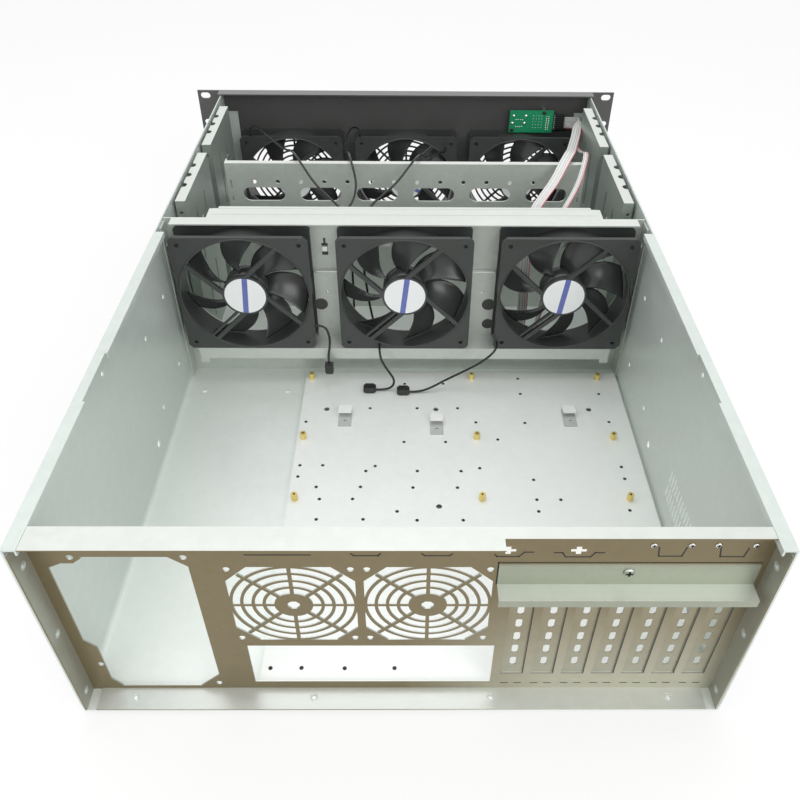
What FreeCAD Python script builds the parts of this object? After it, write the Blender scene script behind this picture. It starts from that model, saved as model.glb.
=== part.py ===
import FreeCAD, Part
import math
import os

import Sketcher

# Empty 4U rackmount case. Millimetres, +Z up, the rear panel towards +Y, the rack ears at -Y.
# The origin lies under the middle of the case, on the surface that it stands on.

doc = FreeCAD.newDocument("RackmountCase")
sheet = doc.addObject("Spreadsheet::Sheet", "Dim")

SIZES = {
    # tray: base, side walls and folded rims
    "tray_width": 426.0,
    "tray_depth": 648.0,
    "tray_height": 173.3,
    "tray_lift": 2.0,
    "tray_sheet": 1.2,
    "rim_width": 8.5,
    "rim_drop": 4.5,
    "rim_length": 331.0,
    "rim_notch_start": 117.0,
    "rim_notch_length": 50.0,
    "front_fold": 14.0,
    "rail_hole_radius": 2.2,
    "fit": 0.2,
    "side_vent_start": 166.0,
    "side_vent_pitch": 5.2,
    "side_vent_width": 2.4,
    "side_vent_height": 13.4,
    "side_vent_base": 27.6,
    "side_vent_rise": 16.6,
    # rear panel, a shallow pan folded towards the rear
    "panel_sheet": 1.0,
    "recess": 15.2,
    "lip_notch_depth": 8.0,
    "lip_notch_x": -56.0,
    "port_width": 158.75,
    "port_height": 44.45,
    "port_x": 20.1,
    "port_base": 10.6,
    "supply_x": 161.0,
    "supply_base": 3.0,
    "supply_width": 86.0,
    "supply_height": 150.0,
    "supply_hole_radius": 2.1,
    # stamped finger guards
    "guard_bar": 2.3,
    "guard_hole": 4.0,
    "small_guard_pitch": 81.0,
    "small_guard_x": 25.0,
    "small_guard_base": 100.1,
    "small_guard_radius": 38.0,
    "small_guard_hole_pitch": 71.5,
    "small_guard_hub": 11.7,
    # expansion slots, their blanks and the clamp cover
    "slot_first_x": -72.9,
    "slot_pitch": 20.32,
    "slot_width": 14.4,
    "slot_base": 21.5,
    "slot_ledge": 121.2,
    "blank_width": 18.4,
    "blank_sheet": 0.9,
    "blank_tail": 14.0,
    "vent_width": 4.2,
    "vent_length": 9.5,
    "vent_pitch": 14.6,
    "vent_first": 34.9,
    "clamp_height": 18.6,
    "clamp_shelf": 12.6,
    "clamp_lip": 5.0,
    "clamp_length": 151.0,
    "clamp_x": -131.3,
    # motherboard plate, its standoffs and cable clips
    "plate_width": 307.0,
    "plate_x": -56.0,
    "plate_front": 344.0,
    "plate_rise": 5.0,
    "plate_sheet": 1.0,
    "standoff_height": 6.5,
    "standoff_across": 5.0,
    "standoff_row": 179.4,
    # fan wall and its shelf
    "wall_setback": 356.0,
    "wall_sheet": 1.2,
    "wall_flange": 11.0,
    "wall_side": 14.0,
    "wall_drop": 0.7,
    "emboss": 4.0,
    "shelf_sheet": 1.2,
    "shelf_width": 392.0,
    "shelf_lip": 12.5,
    # fans
    "fan_size": 120.0,
    "fan_depth": 25.0,
    "fan_hole_pitch": 105.0,
    "fan_hole_radius": 2.15,
    "fan_flange": 4.0,
    "fan_bore": 57.5,
    "fan_duct_wall": 1.6,
    "fan_strut": 4.0,
    "fan_strut_depth": 3.0,
    "fan_strut_lean": -12.0,
    "motor_radius": 20.5,
    "motor_depth": 4.0,
    "axle_radius": 1.5,
    "axle_clearance": 0.05,
    "bearing_radius": 3.2,
    "bearing_length": 11.0,
    "hub_radius": 20.0,
    "hub_wall": 1.6,
    "hub_depth": 18.0,
    "rotor_gap": 0.8,
    "blade_tip": 56.3,
    "blade_chord": 35.0,
    "blade_root": 15.0,
    "blade_sweep": 3.0,
    "blade_sheet": 1.4,
    "blade_camber": 3.6,
    "mid_fan_pitch": 144.2,
    "mid_fan_base": 47.3,
    "front_fan_pitch": 134.9,
    "front_fan_base": 9.9,
    # drive bay: rail, cross member and side brackets
    "drive_rail_width": 356.0,
    "drive_rail_depth": 33.0,
    "drive_rail_setdown": 7.7,
    "drive_rail_drop": 12.0,
    "drive_rail_flange": 22.0,
    "member_setback": 465.0,
    "member_width": 356.0,
    "member_setdown": 1.1,
    "member_fold": 6.0,
    "member_sheet": 1.2,
    "member_hole_pitch": 23.15,
    "member_opening_pitch": 56.8,
    "member_opening_length": 41.3,
    "member_opening_height": 14.5,
    "member_opening_drop": 33.2,
    "member_hole_drop": 19.7,
    "member_foot": 10.0,
    "bracket_length": 101.6,
    "bracket_rear": 390.0,
    "bracket_pitch": 120.4,
    "bracket_setdown": 2.7,
    "bracket_flange": 9.2,
    "bracket_gap": 2.4,
    "bracket_sheet": 1.2,
    "bracket_bite": 4.5,
    # front panel
    "front_width": 482.6,
    "front_rise": 1.7,
    "front_sheet": 1.5,
    "front_flange": 12.0,
    "front_box_width": 432.0,
    "ear_slot_pitch": 465.1,
    "ear_slot_length": 11.0,
    "ear_slot_height": 6.8,
    "ear_outer_spacing": 165.1,
    "ear_inner_spacing": 101.6,
    "large_guard_radius": 57.0,
    "large_guard_hub": 13.0,
    # front connector board
    "board_width": 51.0,
    "board_height": 26.5,
    "board_sheet": 1.6,
    "board_gap": 8.0,
    "board_x": -146.8,
    "board_base": 130.4,
    "button_radius": 4.0,
    "reset_radius": 2.0,
    "button_clearance": 0.3,
    "button_rest": 0.1,
    "button_travel": 0.6,
    "front_stand": 1.2,
    "switch_height": 3.6,
    "socket_width": 13.1,
    "socket_height": 5.7,
    "socket_sheet": 0.4,
    "socket_x": -134.5,
    "light_radius": 1.5,
    "light_x": -150.5,
    "screw_head_radius": 2.9,
    "screw_head_height": 1.6,
    "pillar_radius": 2.9,
    "header_width": 6.2,
    "header_height": 20.0,
    "header_bite": 2.5,
    # leads, ribbons and their plugs
    "lead_across": 2.2,
    "wide_ribbon_across": 4.0,
    "narrow_ribbon_across": 2.5,
    "plug_length": 12.0,
    "plug_width": 8.0,
    "plug_height": 6.5,
    "header_plug_length": 10.0,
    "ribbon_end_width": 14.0,
}


class Size:
    """A length that carries its number together with the sheet formula that it comes from."""

    def __init__(self, value, text):
        self.value = float(value)
        self.text = text

    def __float__(self):
        return self.value

    def __neg__(self):
        return Size(-self.value, f"(-1 * {self.text})")

    def __add__(self, other):
        return Size(self.value + float(other), f"({self.text} + {formula(other)})")

    def __radd__(self, other):
        return Size(float(other) + self.value, f"({formula(other)} + {self.text})")

    def __sub__(self, other):
        return Size(self.value - float(other), f"({self.text} - {formula(other)})")

    def __rsub__(self, other):
        return Size(float(other) - self.value, f"({formula(other)} - {self.text})")

    def __mul__(self, other):
        return Size(self.value * float(other), f"({self.text} * {formula(other)})")

    __rmul__ = __mul__

    def __truediv__(self, other):
        return Size(self.value / float(other), f"({self.text} / {formula(other)})")


def formula(value):
    return value.text if isinstance(value, Size) else f"({float(value):.6f})"


class Sizes:
    """Every driving dimension as an attribute, such as dim.tray_width."""


dim = Sizes()
for row, (alias, number) in enumerate(SIZES.items(), start=1):
    sheet.set(f"A{row}", alias)
    sheet.set(f"B{row}", str(number))
    sheet.setAlias(f"B{row}", alias)
    setattr(dim, alias, Size(number, f"Dim.{alias}"))
doc.recompute()


# ---------------------------------------------------------------- building helpers

NODES = []


def bind(item, path, value):
    """Sets one property, or ties it to the sheet when the value is a Size."""
    if isinstance(value, Size):
        item.setExpression(path, value.text)
    else:
        setattr(item, path, value)


def place(item, x, y, z):
    item.Placement.Base = FreeCAD.Vector(float(x), float(y), float(z))
    for axis, value in zip("xyz", (x, y, z)):
        if isinstance(value, Size):
            item.setExpression(f"Placement.Base.{axis}", value.text)
    return item


def node(item, label):
    """Marks an object as one sub-part, which is written to a file of that name."""
    item.Label = label
    NODES.append(item)
    return item


def body(name):
    return doc.addObject("PartDesign::Body", name)


class Drawing:
    """A sketch on one of its body's origin planes, with every point and radius constrained."""

    def __init__(self, owner, plane, offset=0.0):
        self.sketch = owner.newObject("Sketcher::SketchObject", owner.Name + "_sketch")
        origin = next(f for f in owner.Origin.OriginFeatures if f.Role == plane + "_Plane")
        self.sketch.AttachmentSupport = [(origin, "")]
        self.sketch.MapMode = "FlatFace"
        shift = -offset if plane == "XZ" else offset
        if isinstance(shift, Size):
            self.sketch.setExpression("AttachmentOffset.Base.z", shift.text)

    def hold(self, kind, value, *refs):
        index = self.sketch.addConstraint(Sketcher.Constraint(kind, *refs, float(value)))
        if isinstance(value, Size):
            self.sketch.setExpression(f"Constraints[{index}]", value.text)

    def pin(self, geometry, vertex, x, y):
        self.hold("DistanceX", x, -1, 1, geometry, vertex)
        self.hold("DistanceY", y, -1, 1, geometry, vertex)

    def line(self, start, end):
        ends = [FreeCAD.Vector(float(x), float(y), 0) for x, y in (start, end)]
        return self.sketch.addGeometry(Part.LineSegment(*ends), False)

    def outline(self, points):
        """A closed outline of straight lines through points that are all tied to sizes."""
        lines = [self.line(a, b) for a, b in zip(points, points[1:] + points[:1])]
        for line, following in zip(lines, lines[1:] + lines[:1]):
            self.sketch.addConstraint(Sketcher.Constraint("Coincident", line, 2, following, 1))
        for line, point in zip(lines, points):
            self.pin(line, 1, *point)
        return self

    def rectangle(self, x, y, width, height):
        """A rectangle about its centre."""
        left, right = x - width / 2, x + width / 2
        low, high = y - height / 2, y + height / 2
        return self.outline([(left, low), (right, low), (right, high), (left, high)])

    def bar(self, degrees, start, end, lean, width):
        """A straight bar that leaves the origin's side at an angle, its middle line lean to the left of it."""
        along = (math.cos(math.radians(degrees)), math.sin(math.radians(degrees)))
        across = (-along[1], along[0])
        corners = []
        for run, side in ((start, lean - width / 2), (end, lean - width / 2), (end, lean + width / 2),
                          (start, lean + width / 2)):
            corners.append(tuple(run * along[i] + side * across[i] for i in range(2)))
        return self.outline(corners)

    def circle(self, x, y, radius):
        centre = FreeCAD.Vector(float(x), float(y), 0)
        index = self.sketch.addGeometry(Part.Circle(centre, FreeCAD.Vector(0, 0, 1), float(radius)), False)
        self.pin(index, 3, x, y)
        self.hold("Radius", radius, index)
        return self

    def lozenge(self, y, width, height):
        """An upright slot on the middle line, its ends drawn in to half their width."""
        side, tip, high = width / 2, width / 4, height / 2
        shoulder = high - tip
        right = [(side, y - shoulder), (side, y + shoulder), (tip, y + high)]
        left = [(-tip, y + high), (-side, y + shoulder), (-side, y - shoulder)]
        return self.outline(right + left + [(-tip, y - high), (tip, y - high)])

    def slot(self, x, y, width, height):
        """A slot with two round ends about its centre, lying along its longer side."""
        upright = float(height) > float(width)
        radius = (width if upright else height) / 2
        reach = (height if upright else width) / 2 - radius
        ends = [(x, y - reach), (x, y + reach)] if upright else [(x - reach, y), (x + reach, y)]
        turn = 0.0 if upright else -math.pi / 2
        arcs = []
        for (cx, cy), start in zip(ends, (math.pi, 0.0)):
            centre = FreeCAD.Vector(float(cx), float(cy), 0)
            whole = Part.Circle(centre, FreeCAD.Vector(0, 0, 1), float(radius))
            begin = start + turn
            arcs.append(self.sketch.addGeometry(Part.ArcOfCircle(whole, begin, begin + math.pi), False))
        corner = []
        for (cx, cy), start in zip(ends, (math.pi, 0.0)):
            for angle in (start + turn, start + turn + math.pi):
                corner.append((float(cx) + float(radius) * math.cos(angle),
                               float(cy) + float(radius) * math.sin(angle)))
        first = self.line(corner[1], corner[2])
        second = self.line(corner[3], corner[0])
        for one, vertex, other in ((arcs[0], 2, first), (arcs[1], 2, second)):
            self.sketch.addConstraint(Sketcher.Constraint("Tangent", one, vertex, other, 1))
        for one, other in ((arcs[1], first), (arcs[0], second)):
            self.sketch.addConstraint(Sketcher.Constraint("Tangent", one, 1, other, 2))
        for arc, (cx, cy) in zip(arcs, ends):
            self.pin(arc, 3, cx, cy)
        for arc in arcs:
            self.hold("Radius", radius, arc)
        return self

    def polygon(self, x, y, radius, sides):
        """An even polygon, used for the many small pierced holes that nothing is mounted in."""
        turns = [math.pi * (2 * step + 1) / sides for step in range(sides)]
        return self.outline([(x + radius * math.cos(turn), y + radius * math.sin(turn)) for turn in turns])

    def bent_strip(self, middle, chord, degrees, thickness, rise):
        """A thin strip with one bend half-way, its chord turned from the first axis."""
        along = (math.cos(math.radians(degrees)), math.sin(math.radians(degrees)))
        across = (-along[1], along[0])
        corners = []
        for run, lift in ((-0.5, 0.0), (0.0, rise), (0.5, 0.0), (0.5, thickness), (0.0, rise + thickness),
                          (-0.5, thickness)):
            corners.append(tuple(middle[i] + chord * (run * along[i]) + lift * across[i] for i in range(2)))
        return self.outline(corners)


def pad(owner, drawing, length, both_ways=False, backwards=False):
    feature = owner.newObject("PartDesign::Pad", owner.Name + "_pad")
    feature.Profile = drawing.sketch
    bind(feature, "Length", length)
    if both_ways:
        feature.SideType = "Symmetric"
    feature.Reversed = backwards
    drawing.sketch.Visibility = False
    owner.Tip = feature
    return feature


def pocket(owner, drawing, depth):
    """Cuts half of the depth to each side of the sketch, so that its direction doesn't matter."""
    feature = owner.newObject("PartDesign::Pocket", owner.Name + "_pocket")
    feature.Profile = drawing.sketch
    feature.SideType = "Symmetric"
    bind(feature, "Length", depth)
    owner.Tip = feature
    return feature


def polar(owner, features, count, plane):
    """Repeats features round the body's axis that lies across the plane."""
    axis = {"XZ": "Y_Axis", "XY": "Z_Axis", "YZ": "X_Axis"}[plane]
    origin = next(f for f in owner.Origin.OriginFeatures if f.Role == axis)
    pattern = owner.newObject("PartDesign::PolarPattern", owner.Name + "_polar")
    pattern.Originals = features
    pattern.Axis = (origin, [""])
    pattern.Angle = 360
    pattern.Occurrences = count
    owner.Tip = pattern
    return pattern


def box(name, width, depth, height, x, y, z):
    """A block with its lowest corner at the given point."""
    item = doc.addObject("Part::Box", name)
    for path, value in (("Length", width), ("Width", depth), ("Height", height)):
        bind(item, path, value)
    return place(item, x, y, z)


TURNS = {
    "x": FreeCAD.Rotation(FreeCAD.Vector(0, 1, 0), 90),
    "y": FreeCAD.Rotation(FreeCAD.Vector(1, 0, 0), -90),
    "z": FreeCAD.Rotation(),
}


def placed(item, label, x, y, z):
    """One more of the same piece, as a sub-part of its own."""
    return node(place(compound("Copy", [item]), x, y, z), label)


def rod(name, axis, radius, length, x, y, z):
    """A cylinder that starts at the given point and runs along +x, +y or +z."""
    item = doc.addObject("Part::Cylinder", name)
    bind(item, "Radius", radius)
    bind(item, "Height", length)
    item.Placement.Rotation = TURNS[axis]
    return place(item, x, y, z)


def prism(name, axis, radius, length, x, y, z, sides=8):
    """Like a rod, with flat sides: for hexagonal posts and for pierced holes that nothing is mounted in."""
    item = doc.addObject("Part::Prism", name)
    item.Polygon = sides
    bind(item, "Circumradius", radius)
    bind(item, "Height", length)
    item.Placement.Rotation = TURNS[axis]
    return place(item, x, y, z)


def compound(name, items):
    item = doc.addObject("Part::Compound", name)
    item.Links = items
    return item


def fuse(name, items):
    item = doc.addObject("Part::MultiFuse", name)
    item.Shapes = items
    return item


def cut(name, base, tools):
    item = doc.addObject("Part::Cut", name)
    item.Base = base
    item.Tool = compound(name + "_tools", tools)
    return item


# ---------------------------------------------------------------- shared places

REAR = (dim.tray_depth + dim.front_sheet + dim.front_stand) / 2
FRONT = REAR - dim.tray_depth
FLOOR = dim.tray_lift + dim.tray_sheet
TRAY_TOP = dim.tray_lift + dim.tray_height
WALL_INSIDE = dim.tray_width / 2 - dim.tray_sheet
PANEL_FACE = REAR - dim.recess
BLANK_FACE = PANEL_FACE - dim.panel_sheet
FAN_WALL = REAR - dim.wall_setback
MID_FANS = [dim.mid_fan_pitch * step for step in (1, 0, -1)]
FRONT_FANS = [dim.front_fan_pitch * step for step in (1, 0, -1)]
MID_FAN_Z = dim.tray_lift + dim.mid_fan_base + dim.fan_size / 2
FRONT_FAN_Z = dim.tray_lift + dim.front_fan_base + dim.fan_size / 2
WALL_SCREW_SETBACK = dim.wall_setback - dim.wall_side / 2
WALL_SCREW_HEIGHT = 151.0
SHELF_TOP = dim.tray_lift + dim.mid_fan_base
WALL_FRONT = FAN_WALL - dim.wall_sheet
SLOTS = 7


# ---------------------------------------------------------------- chassis tray

def chassis_tray():
    """One folded sheet: base, side walls, inward rims with a short drop, and folds at the front."""
    half = dim.tray_width / 2
    thick = dim.tray_sheet
    rim = half - dim.rim_width
    drop = TRAY_TOP - dim.rim_drop
    right = [(half, dim.tray_lift), (half, TRAY_TOP), (rim, TRAY_TOP), (rim, drop), (rim + thick, drop),
             (rim + thick, TRAY_TOP - thick), (WALL_INSIDE, TRAY_TOP - thick), (WALL_INSIDE, FLOOR)]
    left = [(-x, z) for x, z in reversed(right)]
    tray = body("TraySheet")
    pad(tray, Drawing(tray, "XZ", REAR).outline(right + left), dim.tray_depth)
    folds = Drawing(tray, "XZ", FRONT + thick)
    fold_height = dim.tray_height - dim.front_flange * 2
    for side in (-1, 1):
        folds.rectangle((WALL_INSIDE - dim.front_fold / 2) * side, FLOOR + fold_height / 2,
                        dim.front_fold, fold_height)
    pad(tray, folds, thick)

    tools = [box("RimEnd", WALL_INSIDE * 2, dim.tray_depth - dim.rim_length, dim.rim_drop * 2,
                 -WALL_INSIDE, FRONT, drop)]
    for start in (rim - thick / 2, -rim - thick * 1.5):
        tools.append(box("RimNotch", thick * 2, dim.rim_notch_length, dim.rim_drop * 2, start,
                         REAR - dim.rim_notch_start - dim.rim_notch_length, drop - thick))
    places = [(setback, height, 1) for setback in (253.5, 313.5) for height in (42.5, 118.5)]
    places += [(165.3, 156.0, 1), (223.8, 27.0, 1.6), (WALL_SCREW_SETBACK, WALL_SCREW_HEIGHT, 1)]
    for setback, height, scale in places:
        tools.append(prism("RailHole", "x", dim.rail_hole_radius * scale, dim.tray_width + 2,
                         -half - 1, REAR - setback, dim.tray_lift + height))
    for row in range(2):
        for column in range(14):
            tools.append(box("SideVent", thick * 3, dim.side_vent_width, dim.side_vent_height,
                             -half - thick, REAR - dim.side_vent_start + dim.side_vent_pitch * column,
                             dim.tray_lift + dim.side_vent_base + dim.side_vent_rise * row))
    for x in (114.6, 195.5):
        tools.append(prism("BaseHole", "z", dim.rail_hole_radius, thick * 3, x, REAR - 320.5,
                         dim.tray_lift - thick))
    node(cut("Tray", tray, tools), "chassis_tray")


# ---------------------------------------------------------------- stamped finger guards

def guard(name, hub, reach, thickness, x, face, z):
    """A hub on eight bars, pressed from the panel's own sheet; face is its +Y side."""
    item = body(name)
    bar = pad(item, Drawing(item, "XZ", face).rectangle(reach / 2, 0.0, reach, dim.guard_bar), thickness)
    polar(item, [bar], 8, "XZ")
    pad(item, Drawing(item, "XZ", face).circle(0.0, 0.0, hub), thickness)
    pocket(item, Drawing(item, "XZ", face).polygon(0.0, 0.0, dim.guard_hole, 8), thickness * 4)
    return place(item, x, 0.0, z)


def square_holes(name, pitch, radius, length, x, y, z):
    """Four holes along Y at the corners of a square."""
    corners = [(i, k) for i in (-0.5, 0.5) for k in (-0.5, 0.5)]
    return [rod(name, "y", radius, length, x + pitch * i, y, z + pitch * k) for i, k in corners]


# ---------------------------------------------------------------- rear panel

def supply_outline():
    """The cut-out for a power supply that stands on edge, with room for its four screws."""
    right = dim.supply_x - dim.supply_width / 2 + 4.5
    left = dim.supply_x + dim.supply_width / 2 - 1.5
    low = dim.tray_lift + dim.supply_base + 2.5
    high = dim.tray_lift + dim.supply_base + dim.supply_height - 5.5
    return [(right, low + 14), (right, high - 9), (right + 10.5, high), (left - 20, high), (left - 21, high - 1),
            (left - 15, high - 6), (left - 8, high - 6), (left, high - 10), (left, high - 86), (left - 7, high - 94),
            (left - 7, low + 9), (left - 13, low), (right + 14, low)]


def supply_holes():
    """The four screw places of a standard power supply, from its top inner corner."""
    x = dim.supply_x - dim.supply_width / 2 + 6
    z = dim.tray_lift + dim.supply_base + dim.supply_height - 6
    return [(x, z), (x + 64.0, z), (x + 74.0, z - 114.0), (x, z - 138.0)]


def slot_x(index):
    return dim.slot_first_x - dim.slot_pitch * index


def rear_panel():
    """A shallow pan: the face lies inside the tray and all four edges fold to the rear."""
    thick = dim.panel_sheet
    side = WALL_INSIDE - dim.fit
    back = BLANK_FACE
    under_rim = TRAY_TOP - dim.rim_drop - dim.fit
    pan = body("PanelSheet")
    plan = [(-side, REAR), (-side, back), (side, back), (side, REAR), (side - thick, REAR),
            (side - thick, PANEL_FACE), (thick - side, PANEL_FACE), (thick - side, REAR)]
    pad(pan, Drawing(pan, "XY", FLOOR).outline(plan), under_rim - FLOOR)
    section = [(REAR, FLOOR), (back, FLOOR), (back, TRAY_TOP), (REAR, TRAY_TOP), (REAR, TRAY_TOP - thick),
               (PANEL_FACE, TRAY_TOP - thick), (PANEL_FACE, FLOOR + thick), (REAR, FLOOR + thick)]
    between_rims = dim.tray_width - (dim.rim_width + dim.fit) * 2
    pad(pan, Drawing(pan, "YZ").outline(section), between_rims, both_ways=True)

    notch_end = -dim.tray_width / 2
    tools = [box("LipNotch", dim.lip_notch_x - notch_end, dim.lip_notch_depth * 2, thick * 4,
                 notch_end, REAR - dim.lip_notch_depth, TRAY_TOP - thick * 2)]
    through = thick * 4
    start = back - thick * 1.5
    tools.append(box("PortOpening", dim.port_width, through, dim.port_height, dim.port_x - dim.port_width / 2,
                     start, dim.tray_lift + dim.port_base))
    supply = body("SupplyOpening")
    pad(supply, Drawing(supply, "XZ", start + through).outline(supply_outline()), through)
    tools.append(supply)
    tools += [rod("SupplyHole", "y", dim.supply_hole_radius, through, x, start, z) for x, z in supply_holes()]
    opening_top = dim.slot_ledge + dim.blank_sheet + dim.fit
    for index in range(SLOTS):
        tools.append(box("SlotOpening", dim.slot_width, through, opening_top - dim.slot_base,
                         slot_x(index) - dim.slot_width / 2, start, dim.tray_lift + dim.slot_base))
    reach = dim.small_guard_radius
    corner = reach * 0.64
    octagon = [(reach, -corner), (reach, corner), (corner, reach), (-corner, reach), (-reach, corner),
               (-reach, -corner), (-corner, -reach), (corner, -reach)]
    middle = dim.tray_lift + dim.small_guard_base
    guards = []
    for hand in (-0.5, 0.5):
        x = dim.small_guard_x + dim.small_guard_pitch * hand
        opening = body("GuardOpening")
        pad(opening, Drawing(opening, "XZ", start + through).outline(octagon), through)
        tools.append(place(opening, x, 0.0, middle))
        tools += square_holes("GuardHole", dim.small_guard_hole_pitch, dim.supply_hole_radius, through,
                              x, start, middle)
        guards.append(guard("SmallGuard", dim.small_guard_hub, reach * 1.13, thick, x, PANEL_FACE, middle))
    ledge = box("SlotLedge", dim.clamp_length - thick * 4, dim.clamp_shelf - thick * 3, thick,
                dim.clamp_x - dim.clamp_length / 2 + thick * 2, PANEL_FACE, dim.tray_lift + dim.slot_ledge - thick)
    node(fuse("RearPanel", [cut("PanelCut", pan, tools), ledge] + guards), "rear_panel")


def slot_blank():
    """A vented blanking plate behind a slot; its top tab lies on the panel's ledge."""
    thick = dim.blank_sheet
    back = BLANK_FACE
    half = dim.blank_width / 2
    tail = half - 4
    shoulder = dim.tray_lift + dim.blank_tail
    low = FLOOR + 2
    top = dim.tray_lift + dim.slot_ledge + thick
    item = body("SlotBlank")
    outline = [(-half, shoulder), (-tail, shoulder - 4), (-tail, low), (tail, low), (tail, shoulder - 4),
               (half, shoulder), (half, top), (-half, top)]
    pad(item, Drawing(item, "XZ", back).outline(outline), thick)
    tab_end = PANEL_FACE + dim.clamp_shelf - dim.panel_sheet * 3
    tab = Drawing(item, "XY", top - thick).rectangle(0.0, (tab_end + back - thick) / 2,
                                                     dim.slot_width - dim.fit * 4, tab_end - back + thick)
    pad(item, tab, thick)
    vents = Drawing(item, "XZ", back)
    for row in range(5):
        vents.lozenge(dim.tray_lift + dim.vent_first + dim.vent_pitch * row, dim.vent_width, dim.vent_length)
    pocket(item, vents, thick * 4)
    return item


def slot_clamp():
    """The folded cover over the blanks' tabs, and the screw that holds it to the panel."""
    thick = dim.panel_sheet
    shelf = dim.tray_lift + dim.slot_ledge + dim.blank_sheet
    out = PANEL_FACE + dim.clamp_shelf
    section = [(PANEL_FACE, shelf), (out - thick, shelf), (out - thick, shelf - dim.clamp_lip),
               (out, shelf - dim.clamp_lip), (out, shelf + thick), (PANEL_FACE + thick, shelf + thick),
               (PANEL_FACE + thick, shelf + dim.clamp_height), (PANEL_FACE, shelf + dim.clamp_height)]
    cover = body("ClampCover")
    pad(cover, Drawing(cover, "YZ").outline(section), dim.clamp_length, both_ways=True)
    node(place(cover, dim.clamp_x, 0.0, 0.0), "slot_clamp_cover")
    height = shelf + dim.clamp_height - 6
    head = rod("ClampScrewHead", "y", dim.screw_head_radius * 1.2, dim.screw_head_height, dim.clamp_x,
               PANEL_FACE + thick, height)
    node(head, "clamp_screw")


# ---------------------------------------------------------------- motherboard plate and what stands on it

PLATE_TOP = FLOOR + dim.plate_rise
STANDOFF_COLUMNS = [91.7, 91.7 - 157.48, 91.7 - 157.48 - 124.46]
STANDOFF_ROWS = [0.0, 72.39, 155.7]


def motherboard_plate():
    """A flat sheet on two side folds, with its larger lead holes and a hole under each standoff."""
    thick = dim.plate_sheet
    half = dim.plate_width / 2
    section = [(-half, FLOOR), (-half, PLATE_TOP), (half, PLATE_TOP), (half, FLOOR), (half - thick, FLOOR),
               (half - thick, PLATE_TOP - thick), (thick - half, PLATE_TOP - thick), (thick - half, FLOOR)]
    plate = body("PlateSheet")
    rear = BLANK_FACE - dim.blank_sheet - dim.fit
    pad(plate, Drawing(plate, "XZ", rear).outline(section), rear - (REAR - dim.plate_front))
    place(plate, dim.plate_x, 0.0, 0.0)
    holes = [(73.6, 290.3), (-29.5, 290.3), (-174.7, 290.3), (-29.3, 171.6)]
    tools = [prism("LeadHole", "z", dim.rail_hole_radius * 1.2, thick * 3, x, REAR - setback, PLATE_TOP - thick * 2)
             for x, setback in holes]
    node(cut("Plate", plate, tools), "motherboard_plate")


def standoffs():
    """Hexagonal brass standoffs on the board's pattern of holes."""
    items = []
    for x in STANDOFF_COLUMNS:
        for row in STANDOFF_ROWS:
            items.append(prism("Standoff", "z", dim.standoff_across / math.sqrt(3), dim.standoff_height, x,
                               REAR - dim.standoff_row - row, PLATE_TOP, sides=6))
    node(compound("Standoffs", items), "standoffs")


def cable_clips():
    """Moulded clips stuck to the plate: a flat foot, a riser and a flap that folds back over it."""
    items = []
    for x, setback in ((55.5, 277.5), (-29.6, 267.0), (-154.2, 278.0)):
        clip = body("Clip")
        outline = [(12.0, 0.0), (12.0, 1.4), (-9.4, 1.4), (-9.4, 5.6), (1.0, 6.6), (0.6, 8.0), (-11.0, 7.0),
                   (-11.0, 0.0)]
        flipped = [(-y, z) for y, z in outline]
        pad(clip, Drawing(clip, "YZ").outline(flipped), 12.0, both_ways=True)
        items.append(place(clip, x, REAR - setback, PLATE_TOP))
    node(compound("Clips", items), "cable_clips")


# ---------------------------------------------------------------- fan wall

def fan_wall():
    """The cross wall that carries three fans, with a top flange, a foot, side folds and pressed pads."""
    thick = dim.wall_sheet
    half = WALL_INSIDE - dim.fit
    top = TRAY_TOP - dim.wall_drop
    flange = FAN_WALL + dim.wall_flange
    foot = WALL_FRONT - dim.wall_flange
    wall = body("WallSheet")
    section = [(FAN_WALL, FLOOR), (FAN_WALL, top - thick), (flange, top - thick), (flange, top),
               (WALL_FRONT, top), (WALL_FRONT, FLOOR + thick), (foot, FLOOR + thick), (foot, FLOOR)]
    pad(wall, Drawing(wall, "YZ").outline(section), half * 2, both_ways=True)
    sides = Drawing(wall, "XY", FLOOR)
    for hand in (-1, 1):
        sides.rectangle((half - thick / 2) * hand, FAN_WALL + (dim.wall_side - thick) / 2, thick,
                        dim.wall_side + thick)
    pad(wall, sides, top - FLOOR - thick * 2)
    pads = Drawing(wall, "XZ", FAN_WALL + dim.emboss)
    low = SHELF_TOP
    high = dim.tray_lift + dim.fan_size
    gap = dim.mid_fan_pitch - dim.fan_size
    for hand in (-0.5, 0.5):
        pads.rectangle(dim.mid_fan_pitch * hand, (low + high) / 2, gap - dim.fit * 6, high - low)
    pad(wall, pads, dim.emboss)

    tools = []
    start = WALL_FRONT - thick
    through = thick * 3
    for x in MID_FANS:
        tools.append(rod("FanOpening", "y", dim.fan_bore, through, x, start, MID_FAN_Z))
    for hand in (-1, 1):
        tools.append(prism("LeadHole", "y", 6.0, through + dim.emboss * 2, 79.0 * hand, start, dim.tray_lift + 84))
    strip = dim.mid_fan_pitch / 2
    tools.append(box("KeyholeStem", 2.0, through, 6.0, strip - 1, start, top - 25.6))
    tools.append(box("KeyholeBar", 5.6, through, 1.6, strip - 2.8, start, top - 26.6))
    tools.append(box("KeyholeFoot", 5.6, through, 1.6, strip - 2.8, start, top - 36.6))
    tools.append(prism("WallSideHole", "x", dim.rail_hole_radius, dim.tray_width, -dim.tray_width / 2,
                     REAR - WALL_SCREW_SETBACK, dim.tray_lift + WALL_SCREW_HEIGHT))
    for hand in (-1, 1):
        end = dim.tray_width / 2 - dim.rim_width
        tools.append(box("FlangeEnd", dim.rim_width, dim.wall_flange, thick * 2,
                         end if hand > 0 else -end - dim.rim_width, FAN_WALL + 0.01, top - thick * 1.5))
    node(cut("FanWall", wall, tools), "fan_wall")


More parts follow.
